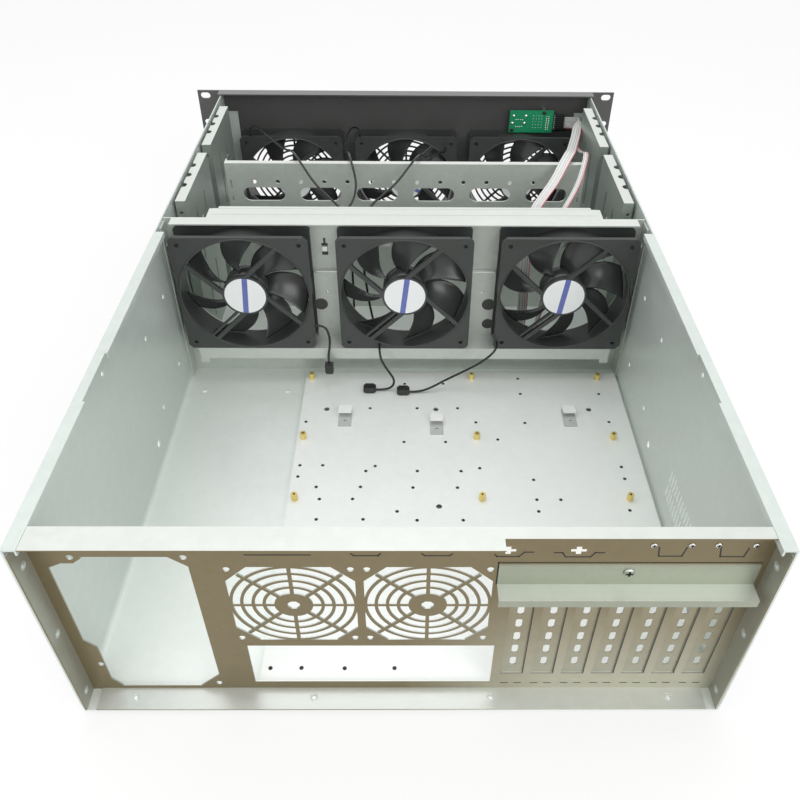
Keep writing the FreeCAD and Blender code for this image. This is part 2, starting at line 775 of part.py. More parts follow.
def fan_shelf():
    """The folded shelf that the fans stand on, with a lip along its rear edge and a fold on the wall."""
    thick = dim.shelf_sheet
    lip = FAN_WALL + dim.fan_depth
    section = [(FAN_WALL, SHELF_TOP), (lip, SHELF_TOP), (lip, SHELF_TOP - dim.shelf_lip),
               (lip - thick, SHELF_TOP - dim.shelf_lip), (lip - thick, SHELF_TOP - thick),
               (FAN_WALL + thick, SHELF_TOP - thick), (FAN_WALL + thick, SHELF_TOP - dim.shelf_lip),
               (FAN_WALL, SHELF_TOP - dim.shelf_lip)]
    shelf = body("ShelfSheet")
    pad(shelf, Drawing(shelf, "YZ").outline(section), dim.shelf_width, both_ways=True)
    tongues = Drawing(shelf, "XZ", lip)
    for hand in (-1, 1):
        tongues.rectangle((dim.shelf_width / 2 - 4) * hand, SHELF_TOP - dim.shelf_lip - 2, 8.0, 5.0)
    pad(shelf, tongues, thick)
    node(shelf, "fan_shelf")


# ---------------------------------------------------------------- fans

def rounded_square(drawing, side, corner):
    """A square with its corners taken off, about the origin."""
    half = side / 2
    inner = half - corner
    drawing.outline([(half, -inner), (half, inner), (inner, half), (-inner, half), (-half, inner),
                     (-half, -inner), (-inner, -half), (inner, -half)])


def fan_frame():
    """Two square flanges joined by a round duct, with the motor carried by four struts at the rear."""
    depth = dim.fan_depth
    frame = body("FanFrame")
    for front in (dim.fan_flange, depth):
        flange = Drawing(frame, "XZ", front).circle(0.0, 0.0, dim.fan_bore)
        rounded_square(flange, dim.fan_size, 4.0)
        pad(frame, flange, dim.fan_flange)
        if front is dim.fan_flange:
            duct = Drawing(frame, "XZ", depth - dim.fan_flange).circle(0.0, 0.0, dim.fan_bore)
            duct.circle(0.0, 0.0, dim.fan_bore + dim.fan_duct_wall)
            pad(frame, duct, depth - dim.fan_flange * 2)
    inner = dim.motor_radius - 8
    outer = dim.fan_bore + dim.fan_duct_wall / 2
    lean = dim.fan_strut_lean
    strut = Drawing(frame, "XZ", depth).bar(-45.0, inner, outer, lean, dim.fan_strut)
    first = pad(frame, strut, dim.fan_strut_depth)
    polar(frame, [first], 4, "XZ")
    channel = Drawing(frame, "XZ", depth).bar(-45.0, inner, outer, lean + dim.fan_strut * 1.4,
                                                       dim.fan_strut / 2)
    pad(frame, channel, dim.fan_strut_depth)
    motor = Drawing(frame, "XZ", depth).circle(0.0, 0.0, dim.motor_radius)
    pad(frame, motor, dim.motor_depth)
    bore = dim.axle_radius + dim.axle_clearance
    bearing = Drawing(frame, "XZ", depth - dim.motor_depth).polygon(0.0, 0.0, dim.bearing_radius, 8)
    pad(frame, bearing.circle(0.0, 0.0, bore), dim.bearing_length)
    holes = Drawing(frame, "XZ", depth)
    corner = dim.fan_hole_pitch / 2
    for i in (-1, 1):
        for k in (-1, 1):
            holes.polygon(corner * i, corner * k, dim.fan_hole_radius, 6)
    pocket(frame, holes, dim.fan_depth / 2)
    return frame


BLADES = 7
BLADE_PITCH = 58.0
ROTOR_MIDDLE = dim.fan_depth - dim.motor_depth - dim.rotor_gap - dim.hub_depth / 2


def fan_blade():
    """A cambered strip that stands out from the hub, cut to the swept outline that it has from the front."""
    root = dim.hub_radius * 0.8
    blade = body("FanBlade")
    strip = Drawing(blade, "YZ", root).bent_strip((ROTOR_MIDDLE, dim.blade_sweep), dim.blade_chord, BLADE_PITCH,
                                                  dim.blade_sheet, dim.blade_camber)
    pad(blade, strip, dim.fan_bore - root)
    outline = Drawing(blade, "XZ")
    low, high = dim.blade_root / 2, dim.blade_chord / 2
    wide = dim.fan_size
    for hand in (-1, 1):
        outline.outline([(root - 1, low * hand), (wide, (low + high) * hand + dim.blade_sweep), (wide, wide * hand),
                         (root - 1, wide * hand)])
    pocket(blade, outline, wide * 2)
    rings = Drawing(blade, "XZ").circle(0.0, 0.0, dim.blade_tip).circle(0.0, 0.0, wide)
    pocket(blade, rings.circle(0.0, 0.0, dim.hub_radius - dim.hub_wall / 2), wide * 2)
    return blade


def fan_rotor():
    """A hub cup on its axle, with blades all round it."""
    front = ROTOR_MIDDLE - dim.hub_depth / 2
    back = ROTOR_MIDDLE + dim.hub_depth / 2
    wall = dim.hub_wall
    inside = dim.hub_radius - wall
    hub = body("FanHub")
    cup = [(0.0, front), (dim.hub_radius, front), (dim.hub_radius, back), (inside, back), (inside, front + wall),
           (dim.axle_radius, front + wall), (dim.axle_radius, back - dim.rotor_gap), (0.0, back - dim.rotor_gap)]
    revolve(hub, Drawing(hub, "XY").outline(cup))
    blade = fan_blade()
    blades = []
    for step in range(BLADES):
        blades.append(compound("TurnedBlade", [blade]))
        blades[-1].Placement.Rotation = FreeCAD.Rotation(FreeCAD.Vector(0, 1, 0), 360 / BLADES * step)
    return fuse("FanRotor", [hub] + blades)


def revolve(owner, drawing):
    """Turns a section in the XY plane once round the body's Y axis."""
    feature = owner.newObject("PartDesign::Revolution", owner.Name + "_turn")
    feature.Profile = drawing.sketch
    feature.ReferenceAxis = (drawing.sketch, ["V_Axis"])
    feature.Angle = 360
    owner.Tip = feature
    return feature


FANS = [(x, FAN_WALL, MID_FAN_Z) for x in MID_FANS] + [(x, FRONT, FRONT_FAN_Z) for x in FRONT_FANS]


# ---------------------------------------------------------------- drive bay

def drive_rail():
    """A folded shelf screwed flat to the front of the fan wall, open below."""
    thick = dim.wall_sheet
    top = TRAY_TOP - dim.drive_rail_setdown
    out = WALL_FRONT - dim.drive_rail_depth
    flange = top - dim.drive_rail_flange
    drop = top - dim.drive_rail_drop
    section = [(WALL_FRONT, flange), (WALL_FRONT, top), (out, top), (out, drop), (out + thick, drop),
               (out + thick, top - thick), (WALL_FRONT - thick, top - thick), (WALL_FRONT - thick, flange)]
    rail = body("RailSheet")
    pad(rail, Drawing(rail, "YZ").outline(section), dim.drive_rail_width, both_ways=True)
    tools = []
    for hand in (-1, 1):
        tools.append(box("RailNotch", 8.0, 5.0, thick * 4, (dim.drive_rail_width / 2 - 4) * hand - 4.0,
                         out - 1, top - thick * 2))
    node(cut("DriveRail", rail, tools), "drive_rail")


def cross_member():
    """An upright sheet with a narrow folded top, a fold at each end and two rows of openings."""
    thick = dim.member_sheet
    half = dim.member_width / 2
    face = REAR - dim.member_setback
    top = TRAY_TOP - dim.member_setdown
    section = [(face, FLOOR), (face, top), (face - dim.member_fold, top), (face - dim.member_fold, top - thick),
               (face - thick, top - thick), (face - thick, FLOOR + thick), (face - dim.member_foot, FLOOR + thick),
               (face - dim.member_foot, FLOOR)]
    member = body("MemberSheet")
    pad(member, Drawing(member, "YZ").outline(section), half * 2, both_ways=True)
    ends = Drawing(member, "XZ", face)
    for hand in (-1, 1):
        ends.rectangle((half - thick / 2) * hand, (FLOOR + top) / 2, thick, top - FLOOR)
    pad(member, ends, dim.member_foot)
    openings = Drawing(member, "XZ", face)
    for column in range(6):
        openings.slot(dim.member_opening_pitch * (column - 2.5), top - dim.member_opening_drop,
                      dim.member_opening_length, dim.member_opening_height)
    pocket(member, openings, thick * 4)
    holes = Drawing(member, "XZ", face)
    for column in range(14):
        holes.polygon(dim.member_hole_pitch * (column - 6.5), top - dim.member_hole_drop,
                      dim.rail_hole_radius, 8)
    pocket(member, holes, thick * 4)
    slits = Drawing(member, "XZ", face)
    for hand in (-1, 1):
        for drop, height in ((38.6, 6.0), (23.1, 11.0)):
            slits.rectangle((half - 4) * hand, top - drop, 1.6, height)
    pocket(member, slits, thick * 4)
    node(member, "cross_member")


def side_bracket(hand):
    """A channel that opens towards the tray wall, closed at its rear end, with bites in its top flange."""
    thick = dim.bracket_sheet
    outer = WALL_INSIDE - dim.bracket_gap
    inner = outer - dim.bracket_flange
    top = TRAY_TOP - dim.bracket_setdown
    section = [(inner, FLOOR), (outer, FLOOR), (outer, FLOOR + thick), (inner + thick, FLOOR + thick),
               (inner + thick, top - thick), (outer, top - thick), (outer, top), (inner, top)]
    bracket = body("BracketSheet")
    mirrored = [(x * hand, z) for x, z in section]
    pad(bracket, Drawing(bracket, "XZ").outline(mirrored), dim.bracket_length)
    end = Drawing(bracket, "XZ").rectangle((inner + outer) / 2 * hand, (FLOOR + top) / 2,
                                                 dim.bracket_flange, top - FLOOR)
    pad(bracket, end, thick)
    tools = [prism("FlangeBite", "z", dim.bracket_bite, thick * 3, outer * hand, -bite, top - thick * 2)
             for bite in (32.0, 53.0, 73.6)]
    tools.append(prism("EndHole", "y", 1.6, thick * 3, (inner + 5) * hand, -thick * 2, top - 12))
    for column in range(2):
        for low, high in ((18.0, 68.0), (86.0, 146.0)):
            tools.append(box("PlateSlit", thick * 3, 3.0, high - low, inner * hand - thick * 1.5,
                             -dim.bracket_length * (column + 1) / 3, FLOOR + low))
    return cut("SideBracket", bracket, tools)


# ---------------------------------------------------------------- front panel

PANEL_FRONT = FRONT - dim.front_sheet
BUTTON_X = dim.board_x - 17.2
EAR_X = dim.ear_slot_pitch / 2


def front_panel():
    """The rack face: ears with slots, three fan grilles and the holes of the control board, on two flanges."""
    thick = dim.front_sheet
    height = TRAY_TOP + dim.front_rise
    plate = body("FrontSheet")
    face = Drawing(plate, "XZ", FRONT).rectangle(0.0, height / 2, dim.front_width, height)
    pad(plate, face, thick)
    flanges = Drawing(plate, "XZ", FRONT + dim.front_flange)
    for low in (0.0, height - thick):
        flanges.rectangle(0.0, low + thick / 2, dim.front_box_width, thick)
    pad(plate, flanges, dim.front_flange)
    slots = Drawing(plate, "XZ", FRONT)
    for x in (-EAR_X, EAR_X):
        for spacing in (dim.ear_outer_spacing, dim.ear_inner_spacing):
            for hand in (-0.5, 0.5):
                slots.slot(x, height / 2 + spacing * hand, dim.ear_slot_length, dim.ear_slot_height)
    pocket(plate, slots, thick * 4)

    through = thick * 3
    start = PANEL_FRONT - thick
    tools = []
    guards = []
    reach = dim.large_guard_radius
    hub = dim.large_guard_hub
    for x in FRONT_FANS:
        tools.append(rod("GrilleOpening", "y", reach, through, x, start, FRONT_FAN_Z))
        guards.append(guard("LargeGuard", hub, reach + 1, thick, x, FRONT, FRONT_FAN_Z))
    for height_above in SOCKET_HEIGHTS:
        tools.append(box("SocketOpening", dim.socket_width + dim.fit * 2, through, dim.socket_height + dim.fit * 2,
                         dim.socket_x - dim.socket_width / 2 - dim.fit, start,
                         height_above - dim.socket_height / 2 - dim.fit))
    for z in BUTTON_HEIGHTS:
        tools.append(prism("LightHole", "y", dim.light_radius + dim.fit, through, dim.light_x, start, z))
    for z, radius in zip(BUTTON_HEIGHTS, (dim.button_radius, dim.reset_radius)):
        tools.append(rod("ButtonHole", "y", radius + dim.button_clearance, through, BUTTON_X, start, z))
    node(fuse("FrontPanel", [cut("FrontCut", plate, tools)] + guards), "front_panel")


# ---------------------------------------------------------------- control board behind the front panel

BOARD_FACE = FRONT + dim.board_gap
BOARD_LOW = dim.tray_lift + dim.board_base
SOCKET_HEIGHTS = [BOARD_LOW + 9.9, BOARD_LOW + 18.8]
BUTTON_HEIGHTS = [BOARD_LOW + 15.2, BOARD_LOW + 4.2]


def control_board():
    """The circuit board, the two pillars it is screwed to, its sideways pin header and the ribbons' plug."""
    thick = dim.board_sheet
    left = dim.board_x - dim.board_width / 2
    board = box("BoardSheet", dim.board_width, thick, dim.board_height, left, BOARD_FACE, BOARD_LOW)
    pillars = [(left + 11.0, BOARD_LOW + 24.0), (left + dim.board_width - 3.6, BOARD_LOW + 3.2)]
    node(board, "control_board")
    posts = [prism("Pillar", "y", dim.pillar_radius, dim.board_gap, x, FRONT, z, sides=6) for x, z in pillars]
    node(compound("Pillars", posts), "board_pillars")
    depth = dim.board_gap - 2.0
    header_end = left + dim.header_bite - dim.header_width
    header = box("PinHeader", dim.header_width, depth, dim.header_height, header_end, BOARD_FACE - depth, BOARD_LOW + 2)
    node(header, "pin_header")
    ribbon_plug = box("HeaderPlug", dim.header_plug_length, depth - 0.5, dim.header_height - 4,
                      header_end - dim.header_plug_length, BOARD_FACE - depth, BOARD_LOW + 3.2)
    node(ribbon_plug, "header_plug")


def sockets():
    """Two data sockets: folded metal shells with a tongue, between the board and the panel's face."""
    depth = dim.board_gap + dim.front_sheet
    for index, z in enumerate(SOCKET_HEIGHTS, start=1):
        wall = dim.socket_sheet
        left = dim.socket_x - dim.socket_width / 2
        low = z - dim.socket_height / 2
        shell = cut("SocketShell", box("SocketBlock", dim.socket_width, depth, dim.socket_height, left,
                                       PANEL_FRONT, low),
                    [box("SocketBay", dim.socket_width - wall * 2, depth - wall, dim.socket_height - wall * 2,
                         left + wall, PANEL_FRONT, low + wall)])
        tongue = box("SocketTongue", dim.socket_width - wall * 4, depth - 1.5, 1.8, left + wall * 2,
                     PANEL_FRONT + 1.5, z - 0.1)
        node(fuse("Socket", [shell, tongue]), f"data_socket_{index}")


def lights():
    """Two light pipes that run from the board to the panel's face."""
    length = dim.board_gap + dim.front_sheet
    pipes = [prism("LightPipe", "y", dim.light_radius, length, dim.light_x, PANEL_FRONT, z) for z in BUTTON_HEIGHTS]
    node(compound("LightPipes", pipes), "status_lights")


def button(label, radius, z):
    """A round cap with a collar behind the panel and a stem that ends just short of its switch."""
    front = PANEL_FRONT - dim.front_stand
    collar = FRONT + dim.button_rest
    item = body("Button")
    stem_end = BOARD_FACE - dim.switch_height - dim.button_travel - dim.button_rest
    section = [(0.0, front), (radius, front), (radius, collar), (radius + 1.2, collar), (radius + 1.2, collar + 1.2),
               (radius * 0.6, collar + 1.2), (radius * 0.6, stem_end), (0.0, stem_end)]
    revolve(item, Drawing(item, "XY").outline(section))
    node(place(item, BUTTON_X, 0.0, z), label)


def switches():
    """The two small push switches on the board, one behind each button."""
    blocks = []
    for z in BUTTON_HEIGHTS:
        blocks.append(box("Switch", 6.0, dim.switch_height, 6.0, BUTTON_X - 3, BOARD_FACE - dim.switch_height, z - 3))
    node(compound("Switches", blocks), "board_switches")


# ---------------------------------------------------------------- leads and ribbons

# Each route starts at the face that the lead leaves and ends at the face of its plug.
LEAD_ROUTES = {
    "front_fan_lead_1": [
        (182, -299.65, 131.9), (182, -299.65, 143.5), (173, -287, 150), (160, -263, 152.5), (143, -234, 154.5),
        (126, -195, 163), (113, -160, 178.5), (102.5, -134, 179), (88, -118, 163.5), (72, -103, 156),
        (58.5, -90, 148), (53, -75, 132), (51, -62, 108), (50, -53, 76), (50.5, -49, 44), (53, -47.5, 22),
        (61, -47.5, 9.7), (73, -47.5, 4.9), (84, -47.5, 4.9)],
    "front_fan_lead_2": [
        (54, -299.65, 131.9), (54, -299.65, 142), (62, -288.5, 149), (67, -263, 149.5), (66, -232, 151.5),
        (62, -195, 160), (57, -158, 178.5), (52.5, -133, 179), (47.5, -124, 162), (50, -115, 149),
        (57, -103, 143), (62.5, -89, 132), (62, -76, 113), (61, -66, 90), (60, -60, 65), (59.5, -57.5, 42),
        (57, -57.5, 24), (48, -57.5, 11), (36, -57.5, 4.9), (25, -57.5, 4.9)],
    "front_fan_lead_3": [
        (-46.5, -297.65, 119), (-46.5, -288, 119), (-39, -273, 124.5), (-31, -250, 133), (-25, -216, 146),
        (-19.5, -180, 162), (-14.5, -154, 178.5), (-6, -132, 179), (7, -121, 165), (20, -110, 157.5),
        (33, -97, 152.5), (41.5, -83, 139), (42, -70, 116), (38, -59, 88), (34, -52, 60), (28.5, -48.5, 36),
        (19, -47.5, 18), (6, -47.5, 7), (-6, -47.5, 4.9), (-17, -47.5, 4.9)],
    "mid_fan_lead_1": [
        (84.2, -7.65, 75), (75, -7.65, 75), (70.5, -3.5, 66.5), (70.5, 1, 56.5), (72.5, 1.5, 46.5), (72.5, 1.5, 37)],
    "mid_fan_lead_2": [
        (24, -5.65, 55), (24, 3.4, 55), (22.5, 9, 47.8), (18.5, 9.5, 39), (14, 8.5, 30), (9.8, 8.5, 21.5),
        (11.8, 8.5, 12.8), (20, 9, 9.9), (28, 9, 9.9)],
    "mid_fan_lead_3": [
        (-87, -5.65, 57.5), (-87, 3.4, 57.5), (-79, 9.5, 51.5), (-68, 10, 42), (-54, 8, 31), (-39, 8, 21.5),
        (-25, 11, 14), (-14, 12, 9.9), (-4.5, 12, 9.9)],
}
WIDE_RIBBON_ROUTE = [
    (-186, -317.9, 144.5), (-195, -317.9, 144.5), (-203.5, -311, 147.5), (-203.5, -299, 150), (-193.5, -286.5, 150.5),
    (-188.5, -268, 149.5), (-187, -240, 151.5), (-178, -200, 161), (-165, -158, 180), (-155, -133, 180.5),
    (-145, -118, 167.5), (-133, -104, 158.5), (-122.5, -91, 149), (-117, -78, 130), (-116, -66, 103),
    (-116, -58, 72), (-116.5, -54.5, 43), (-113.5, -54, 24), (-103.5, -54, 10.5), (-91.5, -54, 6), (-80, -54, 6)]
NARROW_RIBBON_ROUTE = [
    (-186, -317.9, 138.3), (-195, -317.9, 138.3), (-203, -311, 138.8), (-203.5, -299.5, 140.5),
    (-195, -287.5, 142), (-193.5, -268, 143), (-192.5, -238, 147.5), (-188.5, -200, 158.5), (-181, -160, 179),
    (-175, -134, 179.5), (-168.5, -117, 168.5), (-160, -102, 160), (-150, -89, 150.5), (-143, -76, 132),
    (-139, -65, 105), (-136, -56, 74), (-131, -49, 46), (-123, -47, 25), (-110, -47, 11.5), (-94, -47, 5.1),
    (-80, -47, 5.1)]
ARC_SHARE = 0.45


def bent_path(points):
    """Straight runs joined by arcs that touch both of their runs, and the radius of each arc."""
    edges = []
    radii = []
    start = points[0]
    for before, corner, after in zip(points, points[1:], points[2:]):
        back = before - corner
        ahead = after - corner
        reach = ARC_SHARE * min(back.Length, ahead.Length)
        half_turn = (math.pi - back.getAngle(ahead)) / 2
        radius = reach / math.tan(half_turn)
        back.normalize()
        ahead.normalize()
        inward = (back + ahead).normalize()
        middle = corner + inward * (radius / math.cos(half_turn) - radius)
        begin = corner + back * reach
        end = corner + ahead * reach
        edges += [Part.LineSegment(start, begin).toShape(), Part.Arc(begin, middle, end).toShape()]
        radii.append(radius)
        start = end
    edges.append(Part.LineSegment(start, points[-1]).toShape())
    return Part.Wire(edges), radii


def cord(label, across, route, sides=4):
    """A soft lead as a plain tube along its route, with flat sides and the real lead's section."""
    points = [FreeCAD.Vector(*point) for point in route]
    path, radii = bent_path(points)
    ahead = (points[1] - points[0]).normalize()
    aside = ahead.cross(FreeCAD.Vector(0.31, 0.22, 0.93)).normalize()
    upward = ahead.cross(aside)
    area = math.pi / 4 * float(across) ** 2
    reach = math.sqrt(area * 2 / sides / math.sin(2 * math.pi / sides))
    turns = [2 * math.pi * step / sides for step in range(sides)]
    corners = [points[0] + aside * (reach * math.cos(turn)) + upward * (reach * math.sin(turn)) for turn in turns]
    profile = Part.makePolygon(corners + corners[:1])
    solid = path.makePipeShell([profile], True, False)
    if abs(solid.Volume / (area * path.Length) - 1) > 0.02:
        raise SystemExit(f"{label} has {solid.Volume:.0f} cubic mm for {path.Length:.0f} mm of length")
    print(f"{label}: {path.Length:.0f} mm, arcs of {min(radii):.1f} to {max(radii):.0f} mm")
    item = doc.addObject("Part::Feature", "Cord")
    item.Shape = solid
    return node(item, label)


def plug(label, end, way, rest):
    """A small cable plug whose face meets the end of its lead; it lies on a sheet along X, or hangs down."""
    long, wide, high = dim.plug_length, dim.plug_width, dim.plug_height
    if way == "down":
        return node(box("Plug", wide, high, long, end[0] - wide / 2, end[1] - high / 2, end[2] - long), label)
    start = end[0] if way == "left" else end[0] - long
    return node(box("Plug", long, wide, high, start, end[1] - wide / 2, rest), label)


def leads():
    for label, route in LEAD_ROUTES.items():
        cord(label, dim.lead_across, route)
    for label, way in (("front_fan_lead_1", "left"), ("front_fan_lead_2", "right"), ("front_fan_lead_3", "right"),
                       ("mid_fan_lead_1", "down"), ("mid_fan_lead_2", "left"), ("mid_fan_lead_3", "left")):
        rest = FLOOR if label.startswith("front") else PLATE_TOP
        plug(label.replace("lead", "plug"), LEAD_ROUTES[label][-1], way, rest)
    cord("wide_ribbon", dim.wide_ribbon_across, WIDE_RIBBON_ROUTE)
    cord("narrow_ribbon", dim.narrow_ribbon_across, NARROW_RIBBON_ROUTE)
    end_x, end_y, end_z = WIDE_RIBBON_ROUTE[-1]
    width = dim.ribbon_end_width
    far_end = box("RibbonEnd", dim.plug_length, width, dim.plug_width, end_x,
                  (end_y + NARROW_RIBBON_ROUTE[-1][1]) / 2 - width / 2, FLOOR)
    node(far_end, "ribbon_plug")


# ---------------------------------------------------------------- the whole case

chassis_tray()
rear_panel()
blank = slot_blank()
for index in range(SLOTS):
    placed(blank, f"slot_blank_{index + 1}", slot_x(index), 0.0, 0.0)
slot_clamp()
motherboard_plate()
standoffs()
cable_clips()
fan_wall()
fan_shelf()
frame = fan_frame()
rotor = fan_rotor()
for number, centre in enumerate(FANS):
    row = ("mid", "front")[number // 3]
    placed(frame, f"{row}_fan_frame_{number % 3 + 1}", *centre)
    placed(rotor, f"{row}_fan_rotor_{number % 3 + 1}", *centre)
drive_rail()
cross_member()
for hand in (1, -1):
    bracket = side_bracket(hand)
    for pair in range(2):
        number = pair * 2 + (1 if hand > 0 else 2)
        placed(bracket, f"side_bracket_{number}", 0.0, REAR - dim.bracket_rear - dim.bracket_pitch * pair, 0.0)
front_panel()
control_board()
sockets()
lights()
switches()
button("power_button", dim.button_radius, BUTTON_HEIGHTS[0])
button("reset_button", dim.reset_radius, BUTTON_HEIGHTS[1])
leads()

doc.recompute()
for item in doc.Objects:
    if "Invalid" in item.State or "Error" in item.State:
        raise SystemExit(f"{item.Label} failed: {item.State}")
for item in NODES:
    if item.Shape.isNull() or not item.Shape.isValid():
        raise SystemExit(f"{item.Label} has no valid shape")
os.makedirs("parts", exist_ok=True)
for item in NODES:
    item.Shape.exportStep(f"parts/{item.Label}.step")
print(len(NODES), "parts")
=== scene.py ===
from math import cos, pi, radians, sin

import bmesh
import bpy
from mathutils import Matrix, Vector


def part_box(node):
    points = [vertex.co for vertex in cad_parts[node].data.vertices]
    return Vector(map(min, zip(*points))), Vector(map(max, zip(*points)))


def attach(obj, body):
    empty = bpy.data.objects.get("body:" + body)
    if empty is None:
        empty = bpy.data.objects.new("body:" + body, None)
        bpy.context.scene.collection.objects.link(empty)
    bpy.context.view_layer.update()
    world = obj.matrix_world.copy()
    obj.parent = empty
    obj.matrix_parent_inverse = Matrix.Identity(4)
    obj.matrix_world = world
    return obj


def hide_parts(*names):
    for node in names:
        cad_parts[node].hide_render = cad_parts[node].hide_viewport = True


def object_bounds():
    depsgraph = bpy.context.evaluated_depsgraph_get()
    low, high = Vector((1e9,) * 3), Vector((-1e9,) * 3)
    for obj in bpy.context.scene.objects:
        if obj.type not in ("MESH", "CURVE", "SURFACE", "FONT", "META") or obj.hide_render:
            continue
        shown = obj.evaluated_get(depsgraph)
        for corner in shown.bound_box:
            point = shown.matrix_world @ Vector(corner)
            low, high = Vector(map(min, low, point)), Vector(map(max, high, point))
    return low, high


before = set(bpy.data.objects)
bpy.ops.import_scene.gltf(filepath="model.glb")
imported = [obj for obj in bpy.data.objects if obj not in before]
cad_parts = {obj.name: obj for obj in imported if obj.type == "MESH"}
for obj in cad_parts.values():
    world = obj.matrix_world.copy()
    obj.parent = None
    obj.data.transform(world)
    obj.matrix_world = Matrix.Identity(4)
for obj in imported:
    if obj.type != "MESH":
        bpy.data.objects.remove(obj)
cad_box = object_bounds()
MM = 0.001
CASE = "case"
SCENE = bpy.context.scene
SCENE.view_settings.view_transform = "Standard"


# ---------------------------------------------------------------- camera

# The view: from above and behind the rear panel, a little off the middle.
CAMERA_PLACE = Vector((-3.4, 586.9, 521.1)) * MM
CAMERA_PITCH, CAMERA_YAW, CAMERA_ROLL = 0.6949, -0.0125, 0.0108
LENS_MM, SENSOR_MM = 35.73, 36.0
SHIFT_X, SHIFT_Y = -0.020, -0.042
camera = bpy.data.objects.new("camera", bpy.data.cameras.new("camera"))
SCENE.collection.objects.link(camera)
camera.matrix_world = (Matrix.Translation(CAMERA_PLACE)
                       @ Matrix.Rotation(pi + CAMERA_YAW, 4, "Z")
                       @ Matrix.Rotation(pi / 2 - CAMERA_PITCH, 4, "X")
                       @ Matrix.Rotation(CAMERA_ROLL, 4, "Z"))
camera.data.sensor_width = SENSOR_MM
camera.data.lens = LENS_MM
camera.data.shift_x = SHIFT_X
camera.data.shift_y = SHIFT_Y
camera.data.clip_start = 0.01
SCENE.camera = camera


# ---------------------------------------------------------------- leads and ribbons

# The front fans' leads and the control board's two ribbons run over the cross member and tuck down
# under the drive rail, where their plugs lie on the tray. The three wall fans' leads are short.
class Wire:
    """A socket in a material; arithmetic on it adds Math nodes, and mix and node add the others."""

    def __init__(self, tree, socket):
        self.tree = tree
        self.socket = socket

    def plug(self, slot, value):
        if isinstance(value, Wire):
            self.tree.links.new(value.socket, slot)
        else:
            slot.default_value = value

    def node(self, kind, inputs=None, output=0, **settings):
        item = self.tree.nodes.new("ShaderNode" + kind)
        for key, value in settings.items():
            setattr(item, key, value)
        for key, value in (inputs or {}).items():
            self.plug(item.inputs[key], value)
        return Wire(self.tree, item.outputs[output])

    def math(self, operation, *others):
        return self.node("Math", dict(enumerate((self,) + others)), operation=operation)

    def __add__(self, other):
        return self.math("ADD", other)

    __radd__ = __add__

    def __sub__(self, other):
        return self.math("SUBTRACT", other)

    def __rsub__(self, other):
        return (self * -1.0) + other

    def __mul__(self, other):
        return self.math("MULTIPLY", other)

    __rmul__ = __mul__

    def clamp(self, low, high):
        """0 below low, 1 above high and a straight ramp between."""
        return self.node("MapRange", {"Value": self, "From Min": low, "From Max": high})

    def mix(self, first, second):
        """The colour that lies this far from the first to the second."""
        colours = {6: self.colour(first), 7: self.colour(second)}
        return self.node("Mix", {0: self, **colours}, output=2, data_type="RGBA")

    @staticmethod
    def colour(value):
        return value if isinstance(value, Wire) else (*value, 1.0)

    def scaled(self, x, y, z):
        return self.node("VectorMath", {0: self, 1: (x, y, z)}, operation="MULTIPLY")

    def noise(self, scale, detail=2.0):
        return self.node("TexNoise", {"Vector": self, "Scale": scale, "Detail": detail})

    def axes(self):
        split = self.node("SeparateXYZ", {0: self})
        item = split.socket.node
        return [Wire(self.tree, socket) for socket in item.outputs]


class Material:
    """A Principled material; place and normal are its object-space coordinate, in metres, and direction."""

    def __init__(self, name, **constants):
        self.data = bpy.data.materials.new(name)
        self.data.use_nodes = True
        self.tree = self.data.node_tree
        self.shader = self.tree.nodes["Principled BSDF"]
        coordinates = self.tree.nodes.new("ShaderNodeTexCoord")
        self.place = Wire(self.tree, coordinates.outputs["Object"])
        self.normal = Wire(self.tree, coordinates.outputs["Normal"])
        for key, value in constants.items():
            self.shader.inputs[key.replace("_", " ")].default_value = value

    def set(self, socket, value):
        self.place.plug(self.shader.inputs[socket], value)

    def bump(self, height, depth_mm, strength=1.0):
        self.set("Normal", self.place.node("Bump", {"Height": height, "Distance": depth_mm * MM,
                                                    "Strength": strength}))


def moulded(name, dark, light, roughness, depth=0.03, scale=2500.0, upper=None):
    """Moulded plastic or powder paint: an even colour with a fine grain; upper is a painted highlight on
    faces that point up.
    """
    paint = Material(name)
    grain = paint.place.noise(scale, 2.0)
    cloud = paint.place.noise(25.0, 2.0)
    colour = (grain * 0.5 + cloud * 0.5).mix(dark, light)
    if upper:
        colour = paint.normal.axes()[2].clamp(0.5, 0.8).mix(colour, upper)
    paint.set("Base Color", colour)
    paint.set("Roughness", roughness + (cloud - 0.5) * 0.15)
    paint.bump(grain, depth)
    return paint.data


def linked(name, data, *materials):
    item = bpy.data.objects.new(name, data)
    SCENE.collection.objects.link(item)
    for material in materials:
        data.materials.append(material)
    return item


